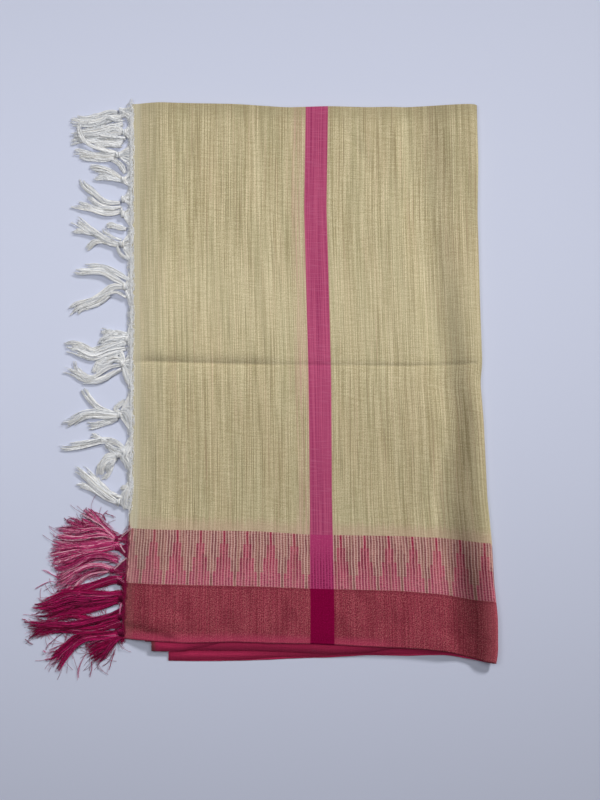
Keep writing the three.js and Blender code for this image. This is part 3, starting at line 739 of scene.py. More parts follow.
def wisps(places, count, rng, radius, points):
    """Single yarns that leave a lock at a slant and curl a little."""
    line = smooth_path(places, 30)
    start = rng.integers(4, 24, count)
    ahead = line[start + 3] - line[start]
    heading = np.arctan2(ahead[:, 1], ahead[:, 0]) + rng.normal(0, 0.55, count)
    length, curl = rng.uniform(8, 22, (count, 1)), rng.normal(0, 0.5, (count, 1))
    t = np.linspace(0, 1, points)[None]
    bend = heading[:, None] + curl * t
    x = line[start, 0][:, None] + length * t * np.cos(bend)
    y = line[start, 1][:, None] + length * t * np.sin(bend)
    return single(x, y, blend(rng.uniform(0.8, 2.6, (count, 1)), 0.5, t), radius)

def edge_fluff(knot, share, count, rng, radius, points):
    """Short loose yarns that lie in arcs along the cloth's edge."""
    start = on_edge(knot, share, count, rng)
    end = start + rng.normal(0, 6, (count, 1))
    t = np.linspace(0, 1, points)[None]
    y = blend(start, end, t) + rng.normal(0, 0.4, (count, 1)) * np.sin(9 * t)
    out = blend(-2.5, 4.5, rng.random((count, 1)))
    x = side["left"](y) + 0.5 - out * np.sin(t * math.pi) + rng.normal(0, 0.5, (count, 1)) * t
    beyond = side["left"](y) - x
    z = np.where(beyond < 0.3, 2.25, blend(2.25, 1.0, ease(beyond, 0.3, 3)))
    return single(x, y, z + 0.35 * rng.random((count, 1)), radius)

def knot_wraps(knot, count, rng, radius, points, wide, long):
    """Yarn turns that close the knot, tipped a little each way."""
    t = np.linspace(0, 2 * math.pi * 0.97, points)[None]
    tip, shift = rng.normal(0, 0.5, (count, 1)), rng.normal(0, 0.75, (count, 1))
    size = 1 + rng.normal(0, 0.12, (count, 1))
    x = knot[0] + shift + wide * 0.45 * size * np.sin(tip) * np.cos(t)
    y = knot[1] + long * size * np.cos(t) * np.cos(tip * 0.5)
    z = np.maximum(KNOT_Z + 1.45 * size * np.sin(t), radius + 0.05)
    return single(x, y, z, radius)

print("lock helpers ready")

# %% [markdown]
# Each white tassel was drawn strand by strand. A row holds the tassel's number, half the strand's
# width, half its width at the tip, its level, and the places that it runs through. Some strands
# curl back or cross, which no formula gives.

# %% The white strands
WHITE_KNOTS = [(-163, 235), (-160, 216), (-166, 196.5), (-160, 175), (-161, 158), (-161, 145),
               (-161.5, 119), (-158.5, 82), (-157, 37), (-160.5, 16), (-162, -28), (-159.5, -59),
               (-163, -102)]
def strands(heads, rows):
    """Splits each row into its first numbers and its places, given as x and y in turn."""
    return [(*row[:heads], np.reshape(row[heads:], (-1, 2)).astype(float)) for row in rows]

WHITE_STRANDS = strands(4, [
    (1, 1.8, 2.4, 1, -166.3, 233.7, -173.3, 234.7, -180.2, 231.7, -188.1, 228.7, -196.1, 228.2, -206,
     231.2),
    (1, 1.1, 1.4, 2, -161.8, 226.2, -167.3, 226.2, -172.8, 229.7, -178.2, 227.7, -184.1, 222.2, -190,
     219.2),
    (1, 2.2, 3, 1, -163.3, 229.7, -173.3, 228.7, -181.2, 226.2, -188.1, 223.7, -197, 225.2, -208.4, 224.7),
    (1, 1.8, 2.2, 0, -160.4, 231.2, -168.3, 230.7, -176.2, 226.2, -185.1, 221.2, -194, 221.2),
    (1, 2.3, 3.4, 0, -161.5, 223.5, -170, 221, -180, 218.6, -190, 216.6, -199.5, 215.4),
    (2, 2, 3, 1, -162.5, 216, -171.5, 216.8, -182, 214.4, -193, 212.8),
    (2, 2.1, 3.2, 2, -158.8, 214.1, -162.3, 218.2, -168.2, 221.2, -175.2, 218.7, -183.6, 216.1, -193.5,
     216.1, -201.9, 216.1, -210.3, 214.1),
    (2, 1.5, 2.2, 2, -159.2, 211.1, -164.2, 211.1, -171.1, 212.1, -179.1, 213.4, -188, 214.9, -196, 216.1),
    (2, 2.3, 3.2, 0, -161.7, 207.1, -166.2, 209.1, -172.1, 209.6, -179.1, 209.1, -188, 210.6, -194.9,
     211.6, -201.9, 210.1, -208.3, 208.6),
    (2, 1.9, 2.2, 1, -163.2, 204.6, -169.6, 205.6, -174.6, 206.1, -181, 206.6, -188, 209.1),
    (3, 0.9, 0.8, 3, -167.1, 198.6, -172, 198.1, -179, 200.6, -187.9, 203.6, -193.9, 207.6, -197.9, 212.6,
     -200, 219.2, -200.5, 224.7, -199.1, 228.7),
    (3, 1.4, 1.2, 2, -168.1, 198.6, -176, 199.6, -181.5, 202.6, -186, 204.6),
    (3, 1.5, 2.8, 1, -167.6, 196.6, -173, 195.6, -180.9, 196.6, -188.9, 196.6, -194.8, 198.1, -200.8,
     199.6, -205.7, 198.6),
    (3, 1.8, 2.4, 0, -169, 193.1, -176, 192.6, -183.9, 193.6, -191.8, 194.1, -200.7, 196.1),
    (3, 1.7, 1.4, 2, -159.5, 180.6, -161.5, 185.1, -166, 190.1, -172, 194.1, -177, 195.4),
    (4, 1.9, 2.8, 1, -157, 171.1, -162, 175.1, -167.9, 179.6, -173.4, 183.1, -180.8, 185.4, -190.8, 186.1),
    (4, 1.4, 2.2, 1, -160, 172.6, -165.9, 175.1, -172.9, 176.1, -179.8, 176.9, -188.7, 176.6),
    (4, 1.2, 1.8, 0, -158, 171.6, -164.9, 176.1, -171.9, 179.1, -179.8, 181.1, -185.8, 181.6),
    (5, 2.1, 3.2, 1, -163.5, 155.2, -169.3, 154.7, -175.6, 155.7, -180.8, 158.9, -186.1, 164.1, -191.8,
     167.8, -195.5, 171.5, -198.5, 177.8),
    (6, 1.1, 2.2, 1, -163, 151.5, -170.8, 149.9, -178.7, 151.5, -183.9, 154.7, -190.2, 158.9, -193.9,
     163.1),
    (6, 2.2, 3.4, 1, -163, 147.3, -169.2, 145.7, -176.5, 146.2, -183.8, 148.3, -191.2, 151, -198, 152.6,
     -203.7, 154.1, -207.9, 155.2),
    (6, 0.9, 1, 2, -162.5, 151, -170.8, 149.4, -177.6, 150.4, -186, 152),
    (6, 0.9, 0.9, 3, -162.5, 149.9, -161.4, 145.7, -160.8, 141.8),
    (7, 1.9, 2.4, 1, -158.2, 132, -165, 134.1, -171.2, 136, -176.4, 135.7),
    (7, 2.2, 3.8, 2, -163.3, 118.9, -170.1, 120.5, -176.3, 123.1, -181.6, 126.8, -187.9, 130.5, -193.1,
     133.6, -197.8, 137.8, -203.1, 140.5, -207.3, 142.6),
    (7, 1.4, 2, 1, -175.3, 123.1, -181.6, 125.7, -187.9, 128.4, -194.1, 129.9, -200.4, 130.7, -208, 131),
    (7, 1.6, 2.4, 1, -164.8, 117.3, -173.2, 120, -180.5, 122.1, -186.2, 121, -189.8, 117.3, -191.9, 113.7),
    (7, 0.8, 0.8, 3, -162.3, 122.6, -169.1, 124.2, -173.2, 127.3, -178.5, 129.9, -179.6, 133.1),
    (7, 1.2, 1.2, 1, -165.4, 117.9, -164.8, 112.6, -160.6, 108.4, -155.4, 106.9, -152.2, 103.7),
    (8, 1.9, 2.2, 1, -155.4, 88.3, -161.4, 92.2, -167.3, 95.2, -173.8, 98.4, -179.2, 100.2, -187.1, 100.2,
     -194, 99.7),
    (8, 2.2, 2.8, 2, -157.9, 83.3, -165.3, 87.8, -171.2, 90.8, -177.2, 95.2, -183.1, 95.5, -191, 95,
     -197.9, 95.2, -204.8, 96.2),
    (8, 2.5, 3.2, 1, -157.9, 81.8, -164.8, 82.8, -170.7, 82.8, -175.1, 77.4, -182.9, 71.9, -190.8, 68.5,
     -197.6, 67.5, -203.5, 64, -208.9, 59.1),
    (8, 1, 1.6, 2, -157.8, 72.9, -161.3, 75.4, -165.2, 77.9, -170.1, 77.4, -175, 74.9, -182.9, 70, -190.7,
     66.5),
    (8, 1.4, 2, 0, -172.1, 73.9, -177, 70.4, -183.8, 66.5, -191.7, 65.5, -198.6, 62, -199.5, 57.6),
    (9, 1.6, 2.2, 1, -156.7, 41.5, -164.9, 42.6, -171.4, 43.2, -179.1, 42.6),
    (9, 1.8, 2, 2, -157.2, 38.3, -165.9, 37.4, -173.6, 36.3, -180.1, 33.3),
    (9, 2.4, 4.2, 1, -157.7, 33.9, -169.2, 31.1, -177.9, 27.3, -185, 25.1, -191, 28.4, -197.6, 31.7,
     -204.7, 32.2, -210.7, 30),
    (9, 1.2, 1.4, 2, -156.6, 36.1, -165.9, 32.8, -174.6, 29.5, -182.8, 26.2, -187.7, 21.8),
    (9, 2.2, 2.6, 2, -157.3, 39.1, -163.9, 39.5, -170.4, 39.1, -177, 36.9, -181.3, 32.1),
    (9, 2.6, 3.4, 1, -157.3, 34.7, -170.4, 31.6, -181.3, 28.6, -186.5, 25.5, -194, 29, -200.1, 34.3,
     -207.1, 36),
    (9, 2.2, 3, 1, -158.1, 29, -174.7, 25.5, -181.2, 21.1, -186.9, 20.7, -193.9, 23.3, -200.9, 27.7,
     -209.7, 29),
    (9, 2.4, 2.2, 0, -161.6, 26.4, -170.3, 22.9, -177.3, 17.2, -181.1, 11.5, -184.6, 7.1),
    (9, 1.2, 2.6, 2, -156.9, 41.7, -163.9, 43.5, -172.6, 42.6, -180.1, 44.8),
    (10, 2.2, 2.6, 0, -160.9, 18, -167.4, 19.6, -174.5, 20.2, -180.5, 18, -183.2, 13.1, -185.4, 6.5),
    (10, 1.3, 2, 2, -160.9, 14.7, -169, 14.2, -174.5, 12, -179.9, 7.6, -184.2, 3.5, -191.9, 4.6, -197.4,
     8.7, -200.7, 13.6, -201.3, 20.7),
    (10, 1.5, 2.6, 1, -161.4, 11.4, -170.1, 6.5, -177.7, 2.7, -186.4, 1, -193.5, 2.1, -200.1, 7.1, -207.2,
     10.3, -213.2, 11.4),
    (10, 0.9, 1, 2, -160.3, 18.5, -164.7, 21.8, -169.1, 21.8, -173.4, 18.5, -177.8, 14.2),
    (10, 0.8, 0.8, 1, -160.3, 14.2, -159.2, 6.5, -155.3, 0, -152.3, -7.1),
    (10, 1.8, 2.4, 1, -161.5, 19.4, -168.1, 19.8, -172.4, 17.2, -177.7, 15, -183.4, 16.7),
    (10, 2, 2.2, 1, -166.7, 9.3, -174.5, 4.1, -181.1, 1.4, -187.6, 1, -194.6, 1),
    (10, 1.7, 1.4, 2, -159.8, 17.2, -160.2, 21.1, -162, 25.5, -166.8, 27.3),
    (10, 1.6, 2, 1, -159.3, 14.1, -157.5, 8.9, -157.1, 3.6, -154.4, -1.6),
    (11, 2, 2.6, 1, -162.2, -27.3, -170.9, -26, -177.5, -23.5, -183, -20.2, -187.4, -15.3, -191.8, -9.9,
     -194.5, -4.4),
    (11, 1.9, 3.2, 2, -163.1, -27.5, -170.7, -26.3, -178.2, -25, -187, -25, -194.5, -26.3, -200.1, -30.7,
     -206.3, -34.4, -214.5, -33.8),
    (11, 1.2, 2, 1, -163.7, -29.4, -171.9, -30, -180.7, -29.4, -189.4, -28.8, -195.1, -29.7, -201.3, -34.4,
     -209.4, -38.2),
    (11, 2.1, 3, 0, -164.4, -30.7, -173.1, -33.8, -180.6, -36, -186.9, -37.6, -191.9, -36.9),
    (11, 1, 1.4, 1, -153.8, -20.6, -158.1, -23.1, -161.9, -26.3),
    (11, 1.5, 1.6, 1, -162.8, -25.2, -167.2, -22.7, -162.8, -19, -157.8, -15.2),
    (11, 2.3, 2, 2, -161.5, -25.2, -156.5, -25.2, -154.6, -30.9, -154.2, -37.1),
    (12, 2.2, 3.4, 1, -157.3, -58.8, -161.7, -53.2, -168, -50.1, -175.5, -48.8, -181.7, -50.1, -189.2,
     -52.6, -198, -54.1, -206.7, -55.4, -214.9, -53.8),
    (12, 1.3, 1.8, 1, -174.2, -49.4, -180.5, -46.9, -187.4, -44.1),
    (12, 1.4, 1.4, 2, -159.1, -59.4, -166.7, -56.9, -172.3, -54.4, -176.7, -51.9),
    (12, 1.7, 2.2, 1, -159.1, -60.7, -166.6, -61, -172.3, -62.6, -176, -64.4, -174.7, -69.4, -177.2, -74.4,
     -180.9, -78.2),
    (12, 1.1, 1, 3, -159.8, -61.3, -164.7, -63.2, -167.2, -64.8),
    (12, 1.1, 1.6, 0, -165.4, -65.7, -169.1, -70.1, -169.7, -75.1, -174, -80.7, -178.4, -83.2),
    (12, 2.4, 2.2, 2, -153.8, -54, -157.5, -59.7, -159.4, -64, -156.2, -69, -153.7, -76.5),
    (12, 2.6, 3, 1, -165, -64, -172.5, -65.3, -176.8, -69.6, -179.9, -75.9, -177.4, -82.1),
    (12, 1.9, 1.6, 2, -166.2, -66.5, -171.2, -70.3, -172.4, -74, -170.5, -77.8),
    (12, 2.2, 1.6, 1, -162.5, -62.8, -167.5, -58.4, -171.3, -54.7, -174.5, -51.5),
    (13, 2.1, 3, 2, -162, -103.1, -170.1, -98.1, -177.7, -92.5, -185.2, -85.7, -192.1, -79.4, -197.8,
     -75.7, -202.2, -73.2),
    (13, 1.6, 2.4, 1, -162.6, -103.7, -171.4, -100, -178.9, -95.6, -184.5, -91.3, -191.4, -88.5, -196.4,
     -87.5, -201.4, -87.2),
    (13, 1.6, 2.2, 0, -160.1, -98.1, -166.4, -96.3, -172.6, -93.8, -178.3, -87.5, -184, -81.9, -190.3,
     -76.3, -194.7, -73.2),
    (13, 1.4, 1.8, 1, -165.1, -96.3, -171.4, -93.8, -175.8, -88.8, -180.8, -85.7, -182.8, -79.4),
    (13, 2.4, 2, 2, -154.2, -89, -157.3, -95.8, -159.1, -102.7, -155.9, -108.3),
    (13, 1.6, 1.4, 2, -161.1, -90.9, -156.7, -89, -154.8, -94),
])
print("white strands", len(WHITE_STRANDS))

# %% [markdown]
# Between the knots the cloth's edge is never bare: its warp ends fan out to the nearest knot. Each
# tassel takes the ends of its own share of the edge, so the fans meet halfway.

# %% The white tassels
MAGENTA_KNOTS = [(-164.5, -133), (-163, -141), (-168, -160), (-161, -170), (-160, -183),
                 (-160, -199), (-160, -213)]
UPPER_TASSELS = 3                      # the first of each colour, which differ from the rest
knot_heights = [y for _, y in WHITE_KNOTS + MAGENTA_KNOTS]

def edge_share(knot, top, foot):
    """Half way to the next knots, up and down the edge."""
    above = [y for y in knot_heights if y > knot[1] + 1] + [top]
    below = [y for y in knot_heights if y < knot[1] - 1] + [foot]
    return (min(above) - knot[1]) * 0.52, (knot[1] - max(below)) * 0.52

def own(table, n):
    """The rows of one tassel, without its number."""
    return [row[1:] for row in table if row[0] == n]

def strayed(places, size, rng, points):
    """A path that strays from its places by about this size."""
    return smooth_path(places + rng.normal(0, size, places.shape), points)

def white_tassel(n, knot):
    rng = np.random.default_rng(100 + n)
    points, parts = 12, []
    fuller, ruffle = (1.3, 0.55) if n <= UPPER_TASSELS else (1.18, 0.34)
    for wide, tip, level, places in own(WHITE_STRANDS, n):
        parts.append(lock(smooth_path(places, points), level, fuller * wide, 1.1 * tip,
                          int(10 + 18 * wide), rng, fingers=5, ruffle=ruffle, radius=0.27))
        for _ in range(3):
            parts.append(lock(strayed(places, 0.9, rng, points), level, wide=0.5, tip=3.0, count=3,
                              rng=rng, fingers=2, ruffle=0.6, radius=0.13))
    share = edge_share(knot, top=244, foot=-115)
    fan, fluff = int(30 + 3.2 * sum(share)), int(14 + 4.2 * sum(share))
    parts.append(edge_fan(knot, share, fan, rng, radius=0.19, points=points))
    parts.append(edge_fluff(knot, share, fluff, rng, radius=0.17, points=points))
    parts.append(knot_wraps(knot, 14, rng, radius=0.45, points=points, wide=2.8, long=2.4))
    paths, radii = (np.concatenate(p) for p in zip(*parts))
    return yarn_tubes(f"white_tassel_{n:02d}", paths, radii, rng.random(len(paths)))

white_tassels = [white_tassel(n, knot) for n, knot in enumerate(WHITE_KNOTS, 1)]
print("white tassels", len(white_tassels), "faces",
      sum(len(o.data.polygons) for o in white_tassels))

# %% [markdown]
# The magenta tassels come off the crimson border. Their yarns are finer and silkier, and they fall
# apart into pointed locks that spread like fingers, with single threads astray. A few pale ends
# cross from the cloth to the knots. The rows are made like those of the white strands, and those
# of the strays and the pale ends hold only the tassel's number and the places.

# %% The magenta locks
MAGENTA_LOCKS = strands(4, [
    (1, 1.5, 5, 2, -164.2, -132.4, -172.8, -124.6, -180.6, -117.5, -188.5, -111.7, -194.4, -107.8),
    (1, 1.4, 3.6, 1, -164.9, -132.4, -176, -125.3, -187.1, -122, -195.6, -118.8, -198.9, -117.5),
    (1, 1.6, 3.2, 2, -164.9, -131.1, -176, -124, -182.5, -123.3, -192.3, -125.9, -202.7, -126.6, -210.5,
     -125.9, -218.3, -127.2),
    (1, 1.5, 3.6, 1, -166.2, -131.8, -179.3, -126.6, -192.3, -124, -201.4, -120.7, -209.3, -117.5),
    (1, 1.4, 3, 3, -165.5, -133, -174, -129.2, -182.5, -130.5, -190.9, -131.8, -201.3, -132.4, -216.9,
     -130.5),
    (2, 1.5, 3.6, 0, -162.9, -135.6, -172.7, -133.7, -185.7, -135, -197.4, -135.6, -205.2, -136.9, -214.3,
     -138.9, -220.8, -136.3),
    (2, 2, 4.4, 2, -162.3, -136.9, -172.7, -138.2, -185.6, -140.8, -194.7, -141.8, -203.8, -142.4, -214.2,
     -146, -223.9, -147.9),
    (2, 1.6, 4.2, 1, -162.2, -139.5, -173.9, -142.1, -183, -144, -193.4, -145, -202.5, -147.3, -209,
     -149.9, -221.3, -151.2),
    (2, 1.5, 3.2, 1, -162.9, -137.6, -175.9, -136.9, -188.9, -138.2, -198.7, -138.2, -209, -140.8, -221.4,
     -142.7),
    (3, 1.6, 3.8, 2, -162.8, -151.2, -173.9, -146.6, -185.6, -146.6, -193.4, -149.9, -199.8, -154.4,
     -208.9, -158.3, -219.3, -156.3),
    (3, 1.6, 4.2, 1, -163.5, -151.8, -175.8, -148.6, -186.9, -149.9, -194.6, -155.7, -202.4, -161.5,
     -210.1, -165.4, -217.9, -167.9),
    (3, 1.9, 4.8, 2, -166.7, -158.9, -179, -155, -190.7, -156.3, -198.5, -160.8, -204.9, -165.4, -211.4,
     -169.9, -217.8, -173.1),
    (3, 1.7, 4.4, 1, -166.7, -159.5, -180.3, -160.8, -190, -162.8, -197.1, -168.6, -204.8, -174.4, -212.6,
     -177.6),
    (4, 2.6, 5, 1, -160.1, -167.6, -169.8, -167.6, -177.6, -171.2, -187, -174.6, -198.3, -176.3, -208.7,
     -180.2, -219.7, -184.1),
    (4, 2.2, 4.6, 2, -160.7, -179, -171, -180.2, -183.4, -179.6, -198.3, -178.9, -208.7, -179.9, -217.7,
     -187, -234.5, -191.5),
    (5, 2.8, 5, 2, -160.7, -182.3, -169.1, -182.6, -178.8, -184.2, -188.5, -186, -198.2, -186.3, -211.2,
     -189.6, -222.8, -192.8, -235.8, -192.8),
    (5, 2.4, 4.6, 1, -161.3, -185, -172.3, -187.6, -185.3, -191.4, -195, -193.8, -204.7, -192.1, -217.6,
     -196, -231.2, -197.3),
    (6, 2.4, 4.4, 2, -159.9, -195.4, -168.3, -197.9, -180, -200.5, -190.3, -203.7, -200.7, -205.6, -213.6,
     -206.9, -225.3, -205.6, -238.3, -204.4, -244.7, -205),
    (6, 2.8, 4.8, 1, -159.9, -204.6, -172.1, -208.7, -185.1, -210.1, -198, -210.1, -211, -208.9, -224,
     -208.9, -233, -212.1, -240.7, -216.6),
    (6, 1.8, 4, 0, -160.5, -199.2, -175.4, -203.1, -188.4, -201.8, -199.4, -197.9, -211.1, -199.2, -222.8,
     -200.5),
    (7, 2.2, 4.6, 1, -159.8, -210.8, -172.1, -213.4, -185, -213.4, -194.7, -215.3, -203.1, -219.8, -209.5,
     -226.8, -217.2, -233.3, -227.6, -235.2),
    (7, 2.2, 5, 2, -159.8, -212.1, -172.1, -214, -185, -214.6, -194.1, -217.2, -200.5, -223, -206.9,
     -231.3, -213.3, -239.7, -219, -248),
    (7, 2.8, 6, 2, -159.8, -215.3, -165.6, -219.8, -172.6, -225.6, -179.1, -231.3, -186.1, -236.5),
    (7, 2.4, 5, 1, -160.4, -214.6, -168.8, -217.2, -177.2, -221.1, -184.9, -225.6, -190.1, -228.1),
])
STRAYS = strands(1, [
    (1, -201.4, -121.4, -206.7, -118.1, -210.6, -114.3),
    (1, -174.1, -117.5, -176.8, -113, -182, -110.7, -186.5, -110.7),
    (1, -173.5, -118.1, -176.1, -113, -171.6, -109.1),
    (1, -174.2, -111.7, -168.9, -113.6, -165.7, -116.2),
    (2, -211.6, -146, -218, -153.7, -221.2, -158.3),
    (2, -209, -151.2, -214.1, -154.4, -220, -155.7),
    (2, -203.9, -131.8, -209.1, -133, -212.3, -136.9),
    (3, -213.4, -166.6, -222.5, -162.1, -229.7, -158.3),
    (3, -214, -171.8, -218.5, -168.3, -224.4, -170.2, -236, -176.3),
    (3, -210.1, -169.2, -215.2, -173.1, -219.1, -174.4),
    (5, -213.8, -189.6, -219.7, -185.7, -224.2, -186.3),
    (5, -229.3, -194.1, -234.4, -197.9, -237.1, -196),
    (6, -208.4, -212.1, -217.4, -218.5, -222.5, -223.6, -224.4, -229.4),
    (6, -223.8, -228.8, -227, -227.5),
    (6, -241.4, -217.9, -238.1, -221.1, -234.8, -223),
    (6, -239.6, -202.4, -242.8, -201.1, -244.8, -200.5),
    (7, -189.4, -230, -193.9, -236.5, -196.4, -244.1, -196.9, -255),
    (7, -184.9, -236.5, -185.1, -244.1, -187.3, -250.6),
    (7, -164.9, -225.6, -167.4, -233.9, -172.5, -248.6),
    (7, -166.1, -228.8, -170, -236.5, -176.4, -241.6),
    (7, -163.6, -221.1, -168.7, -228.8, -172.6, -233.9, -175.8, -234.9),
])
PALE_TIES = strands(1, [
    (1, -151.3, -123, -159.7, -130.5, -163.6, -135.6),
    (2, -157, -144.7, -161, -138.2, -162.9, -135),
    (3, -155.7, -149.2, -163.4, -156.3, -167.9, -160.8),
    (4, -156.8, -170.2, -162.7, -166, -166.6, -160.8),
    (5, -160, -187, -160.6, -193.4, -162.5, -200.5),
])
print("magenta locks", len(MAGENTA_LOCKS), "strays", len(STRAYS))

# %% [markdown]
# A lock of the upper three tassels has more and smaller bunches than one of the lower four, whose
# yarns run wilder. The two ways are kept as two short lists of numbers, so one function makes all
# seven, and every tassel draws its own random numbers.

# %% The magenta tassels
# Pairs are shades, from one yarn number to another, which the finishes turn into colours.
# The edge fans and knot turns get only dark yarns: painted shade around the knots.
PINK = dict(bunches=5, shade_span=0.35, wisps=14, edge_painted_shade=(0.2, 0.36), fluff=24, turns=10,
            wrap_painted_shade=(0.2, 0.36))
WINE = dict(bunches=2, shade_span=0.6, wisps=32, edge_painted_shade=(0.3, 0.6), fluff=60, turns=18,
            wrap_painted_shade=(0.77, 0.94))
FAN = 120                              # warp ends between the cloth and a knot

def magenta_tassel(n, knot):
    rng = np.random.default_rng(500 + n)
    style = PINK if n <= UPPER_TASSELS else WINE
    bunches, points, parts, shades = style["bunches"], 10, [], []
    def add(part, shade):
        parts.append(part)
        shades.append(np.broadcast_to(shade, len(part[0])) if np.isscalar(shade) else shade)
    for wide, tip, level, places in own(MAGENTA_LOCKS, n):
        for strand in range(bunches):              # the yarns of a lock lie in bunches
            stray = rng.normal(0, 0.55 * wide, places.shape) * 0.6
            shift = [0, (strand - (bunches - 1) / 2) * 1.8 * wide / bunches]
            count = int(4 + 30 * wide / bunches)
            part = lock(smooth_path(places + stray + shift, points), level + 0.5 * rng.random(),
                        1.7 * wide / bunches, 0.8 * tip, count, rng, fingers=3, ruffle=0.45,
                        radius=0.17)
            add(part, (rng.random() + style["shade_span"] * rng.random(count)) % 1)
        for _ in range(8):
            add(lock(strayed(places, 2.2, rng, points), 0.5 * level, wide=0.8, tip=4.5, count=4,
                     rng=rng, fingers=3, ruffle=0.8, radius=0.14), 0.97 * rng.random(4))
        add(wisps(places, style["wisps"], rng, 0.14, points), 0.6 * rng.random())
    for places, in own(STRAYS, n):
        add(lock(smooth_path(places, points), 0, wide=0.25, tip=0.8, count=3, rng=rng, fingers=2,
                 ruffle=0.25, radius=0.15), 0.94 * rng.random(3))
    for places, in own(PALE_TIES, n):
        add(lock(smooth_path(places, points), 2.4, wide=0.7, tip=0.5, count=5, rng=rng, fingers=1,
                 ruffle=0.15, radius=0.17), 0.97)
    share, fluff, turns = edge_share(knot, top=-120, foot=-228), style["fluff"], style["turns"]
    add(edge_fan(knot, share, FAN, rng, radius=0.18, points=points),
        rng.uniform(*style["edge_painted_shade"], FAN))
    add(edge_fluff(knot, share, fluff, rng, radius=0.15, points=points),
        rng.uniform(*style["edge_painted_shade"], fluff))
    add(knot_wraps(knot, turns, rng, radius=0.36, points=points, wide=2.2, long=2.3),
        rng.uniform(*style["wrap_painted_shade"], turns))
    paths, radii = (np.concatenate(p) for p in zip(*parts))
    return yarn_tubes(f"magenta_tassel_{n:02d}", paths, radii, np.concatenate(shades))

magenta_tassels = [magenta_tassel(n, knot) for n, knot in enumerate(MAGENTA_KNOTS, 1)]
print("magenta tassels", len(magenta_tassels), "faces",
      sum(len(o.data.polygons) for o in magenta_tassels))

# %% [markdown]
# The white yarn is matt cotton, cool grey in its hollows. The magenta yarn shines a little more,
# and each yarn has its own shade: the upper tassels are pinker with pale threads among them, the
# lower ones deep wine red.

# %% Yarn finishes
def yarn_finish(name, shades, roughness, specular):
    """Shades are pairs: from which yarn number, 0 to 1, and the colour."""
    material = bpy.data.materials.new(name)
    material.use_nodes = True
    pick, along = (place / 1000 for place in flat_place(material.node_tree, "yarn"))
    base = shades[0][1]
    fleck = speckle(pick * 900, along * 40, 1, 1, 5, 2)
    colour = coats(base, *((shade, pick.rise(start - 0.01, start + 0.01))
                           for start, shade in shades[1:]), (base, fleck.rise(0.5, 0.7) * 0.35))
    finish_cloth(material, colour, fleck, bump=0.05, roughness=roughness, sheen=0.05,
                 specular=specular)
    return material

white_yarn = yarn_finish("white_yarn", [
    (0, (228, 229, 232)), (0.3, (240, 240, 240)), (0.6, (212, 215, 220)),
    (0.85, (232, 230, 226))], roughness=0.9, specular=0.1)
pink_yarn = yarn_finish("pink_yarn", [
    (0, (204, 50, 122)), (0.2, (136, 12, 72)), (0.36, (222, 128, 170)), (0.46, (108, 4, 56)),
    (0.64, (216, 84, 144)), (0.86, (246, 208, 222))], roughness=0.5, specular=0.2)
wine_yarn = yarn_finish("wine_yarn", [
    (0, (174, 0, 86)), (0.3, (126, 0, 58)), (0.6, (206, 30, 116)), (0.76, (88, 0, 42)),
    (0.96, (222, 130, 170))], roughness=0.55, specular=0.12)
for piece in white_tassels:
    piece.data.materials.append(white_yarn)
for n, piece in enumerate(magenta_tassels, 1):
    piece.data.materials.append(pink_yarn if n <= UPPER_TASSELS else wine_yarn)
print("yarn finishes", white_yarn.name, pink_yarn.name, wine_yarn.name)

# %% [markdown]
# Every piece rides on the frame's one body and stands for its solid.

# %% Tie the pieces to the frame
stands_for = {"outer_stretch": "outer_ply", "second_lap": "second_ply",
              "inner_lap_1": "folded_core"}
pieces = [outer, second, *core_laps, *white_tassels, *magenta_tassels]
for piece in pieces:
    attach(piece, "root")
for piece in [outer, second, core_laps[0]]:
    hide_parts(stands_for[piece.name])
for n, piece in enumerate(white_tassels, 1):
    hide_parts(f"tassel_white_{n:02d}")
for n, piece in enumerate(magenta_tassels, 1):
    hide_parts(f"tassel_magenta_{n:02d}")
print("sheets", 2 + len(core_laps))

# %% [markdown]
# The cloth lies on a pale surface. A low light far off beyond its right far corner models the
# creases and throws short shadows. Two lamps overhead give most of the light and fall off towards
# the near side, and a dim cool sky fills the hollows. The low light is kept well away, because
# one close by would make one corner of the surface brighter than the other.

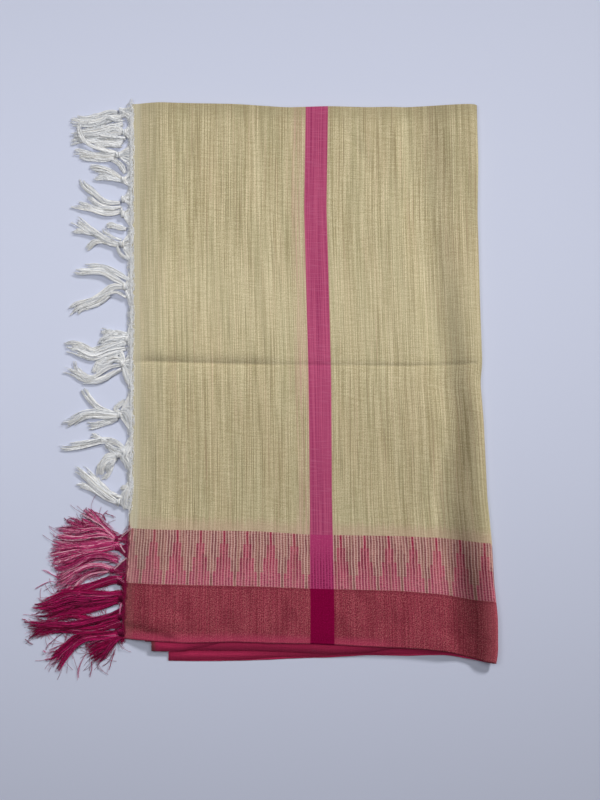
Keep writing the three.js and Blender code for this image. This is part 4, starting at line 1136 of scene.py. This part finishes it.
# %% Floor and light
floor_mesh = bpy.data.meshes.new("floor")
floor_mesh.from_pydata([(-3, -3, 0), (3, -3, 0), (3, 3, 0), (-3, 3, 0)], [], [(0, 1, 2, 3)])
floor = bpy.data.objects.new("floor", floor_mesh)
bpy.context.collection.objects.link(floor)
surface = bpy.data.materials.new("pale_surface")
surface.use_nodes = True
shader = surface.node_tree.nodes["Principled BSDF"]
shader.inputs["Base Color"].default_value = linear(204, 209, 229)
shader.inputs["Roughness"].default_value = 0.7
shader.inputs["Specular IOR Level"].default_value = 0.15
floor_mesh.materials.append(surface)

def soft_light(name, place, target, size, power, colour):
    data = bpy.data.lights.new(name, "AREA")
    data.shape, data.size, data.energy, data.color = "DISK", size, power, colour
    light = bpy.data.objects.new(name, data)
    bpy.context.collection.objects.link(light)
    light.location = place
    toward = Vector(target) - Vector(place)
    light.rotation_euler = toward.to_track_quat("-Z", "Y").to_euler()
    return light

LAMP_COLOUR = (0.99, 0.995, 0.99)
soft_light("low_window", (2.84, 3.38, 2.35), (0, 0, 0), size=0.8, power=200,
           colour=(1, 0.99, 0.97))
soft_light("left_lamp", (-0.43, 0.1, 0.65), (-0.43, 0.1, 0), 0.5, 2.08, LAMP_COLOUR)
soft_light("right_lamp", (0.2, 0.1, 0.58), (0.2, 0.1, 0), 0.5, 1.27, LAMP_COLOUR)
world = bpy.data.worlds.new("sky")
world.use_nodes = True
world.node_tree.nodes["Background"].inputs[0].default_value = (0.84, 0.88, 1, 1)
world.node_tree.nodes["Background"].inputs[1].default_value = 0.06
bpy.context.scene.world = world
bpy.context.scene.view_settings.view_transform = "Standard"
print("lights ready")

# %% [markdown]
# Last, the triangles of the finished pieces are counted.

# %% Sizes and finish
shapes = bpy.context.evaluated_depsgraph_get()
counts = {}
for piece in pieces:
    done = piece.evaluated_get(shapes).to_mesh()
    counts[piece.name] = sum(len(p.vertices) - 2 for p in done.polygons)
print("triangles", sum(counts.values()), "most in one piece", max(counts.values()))
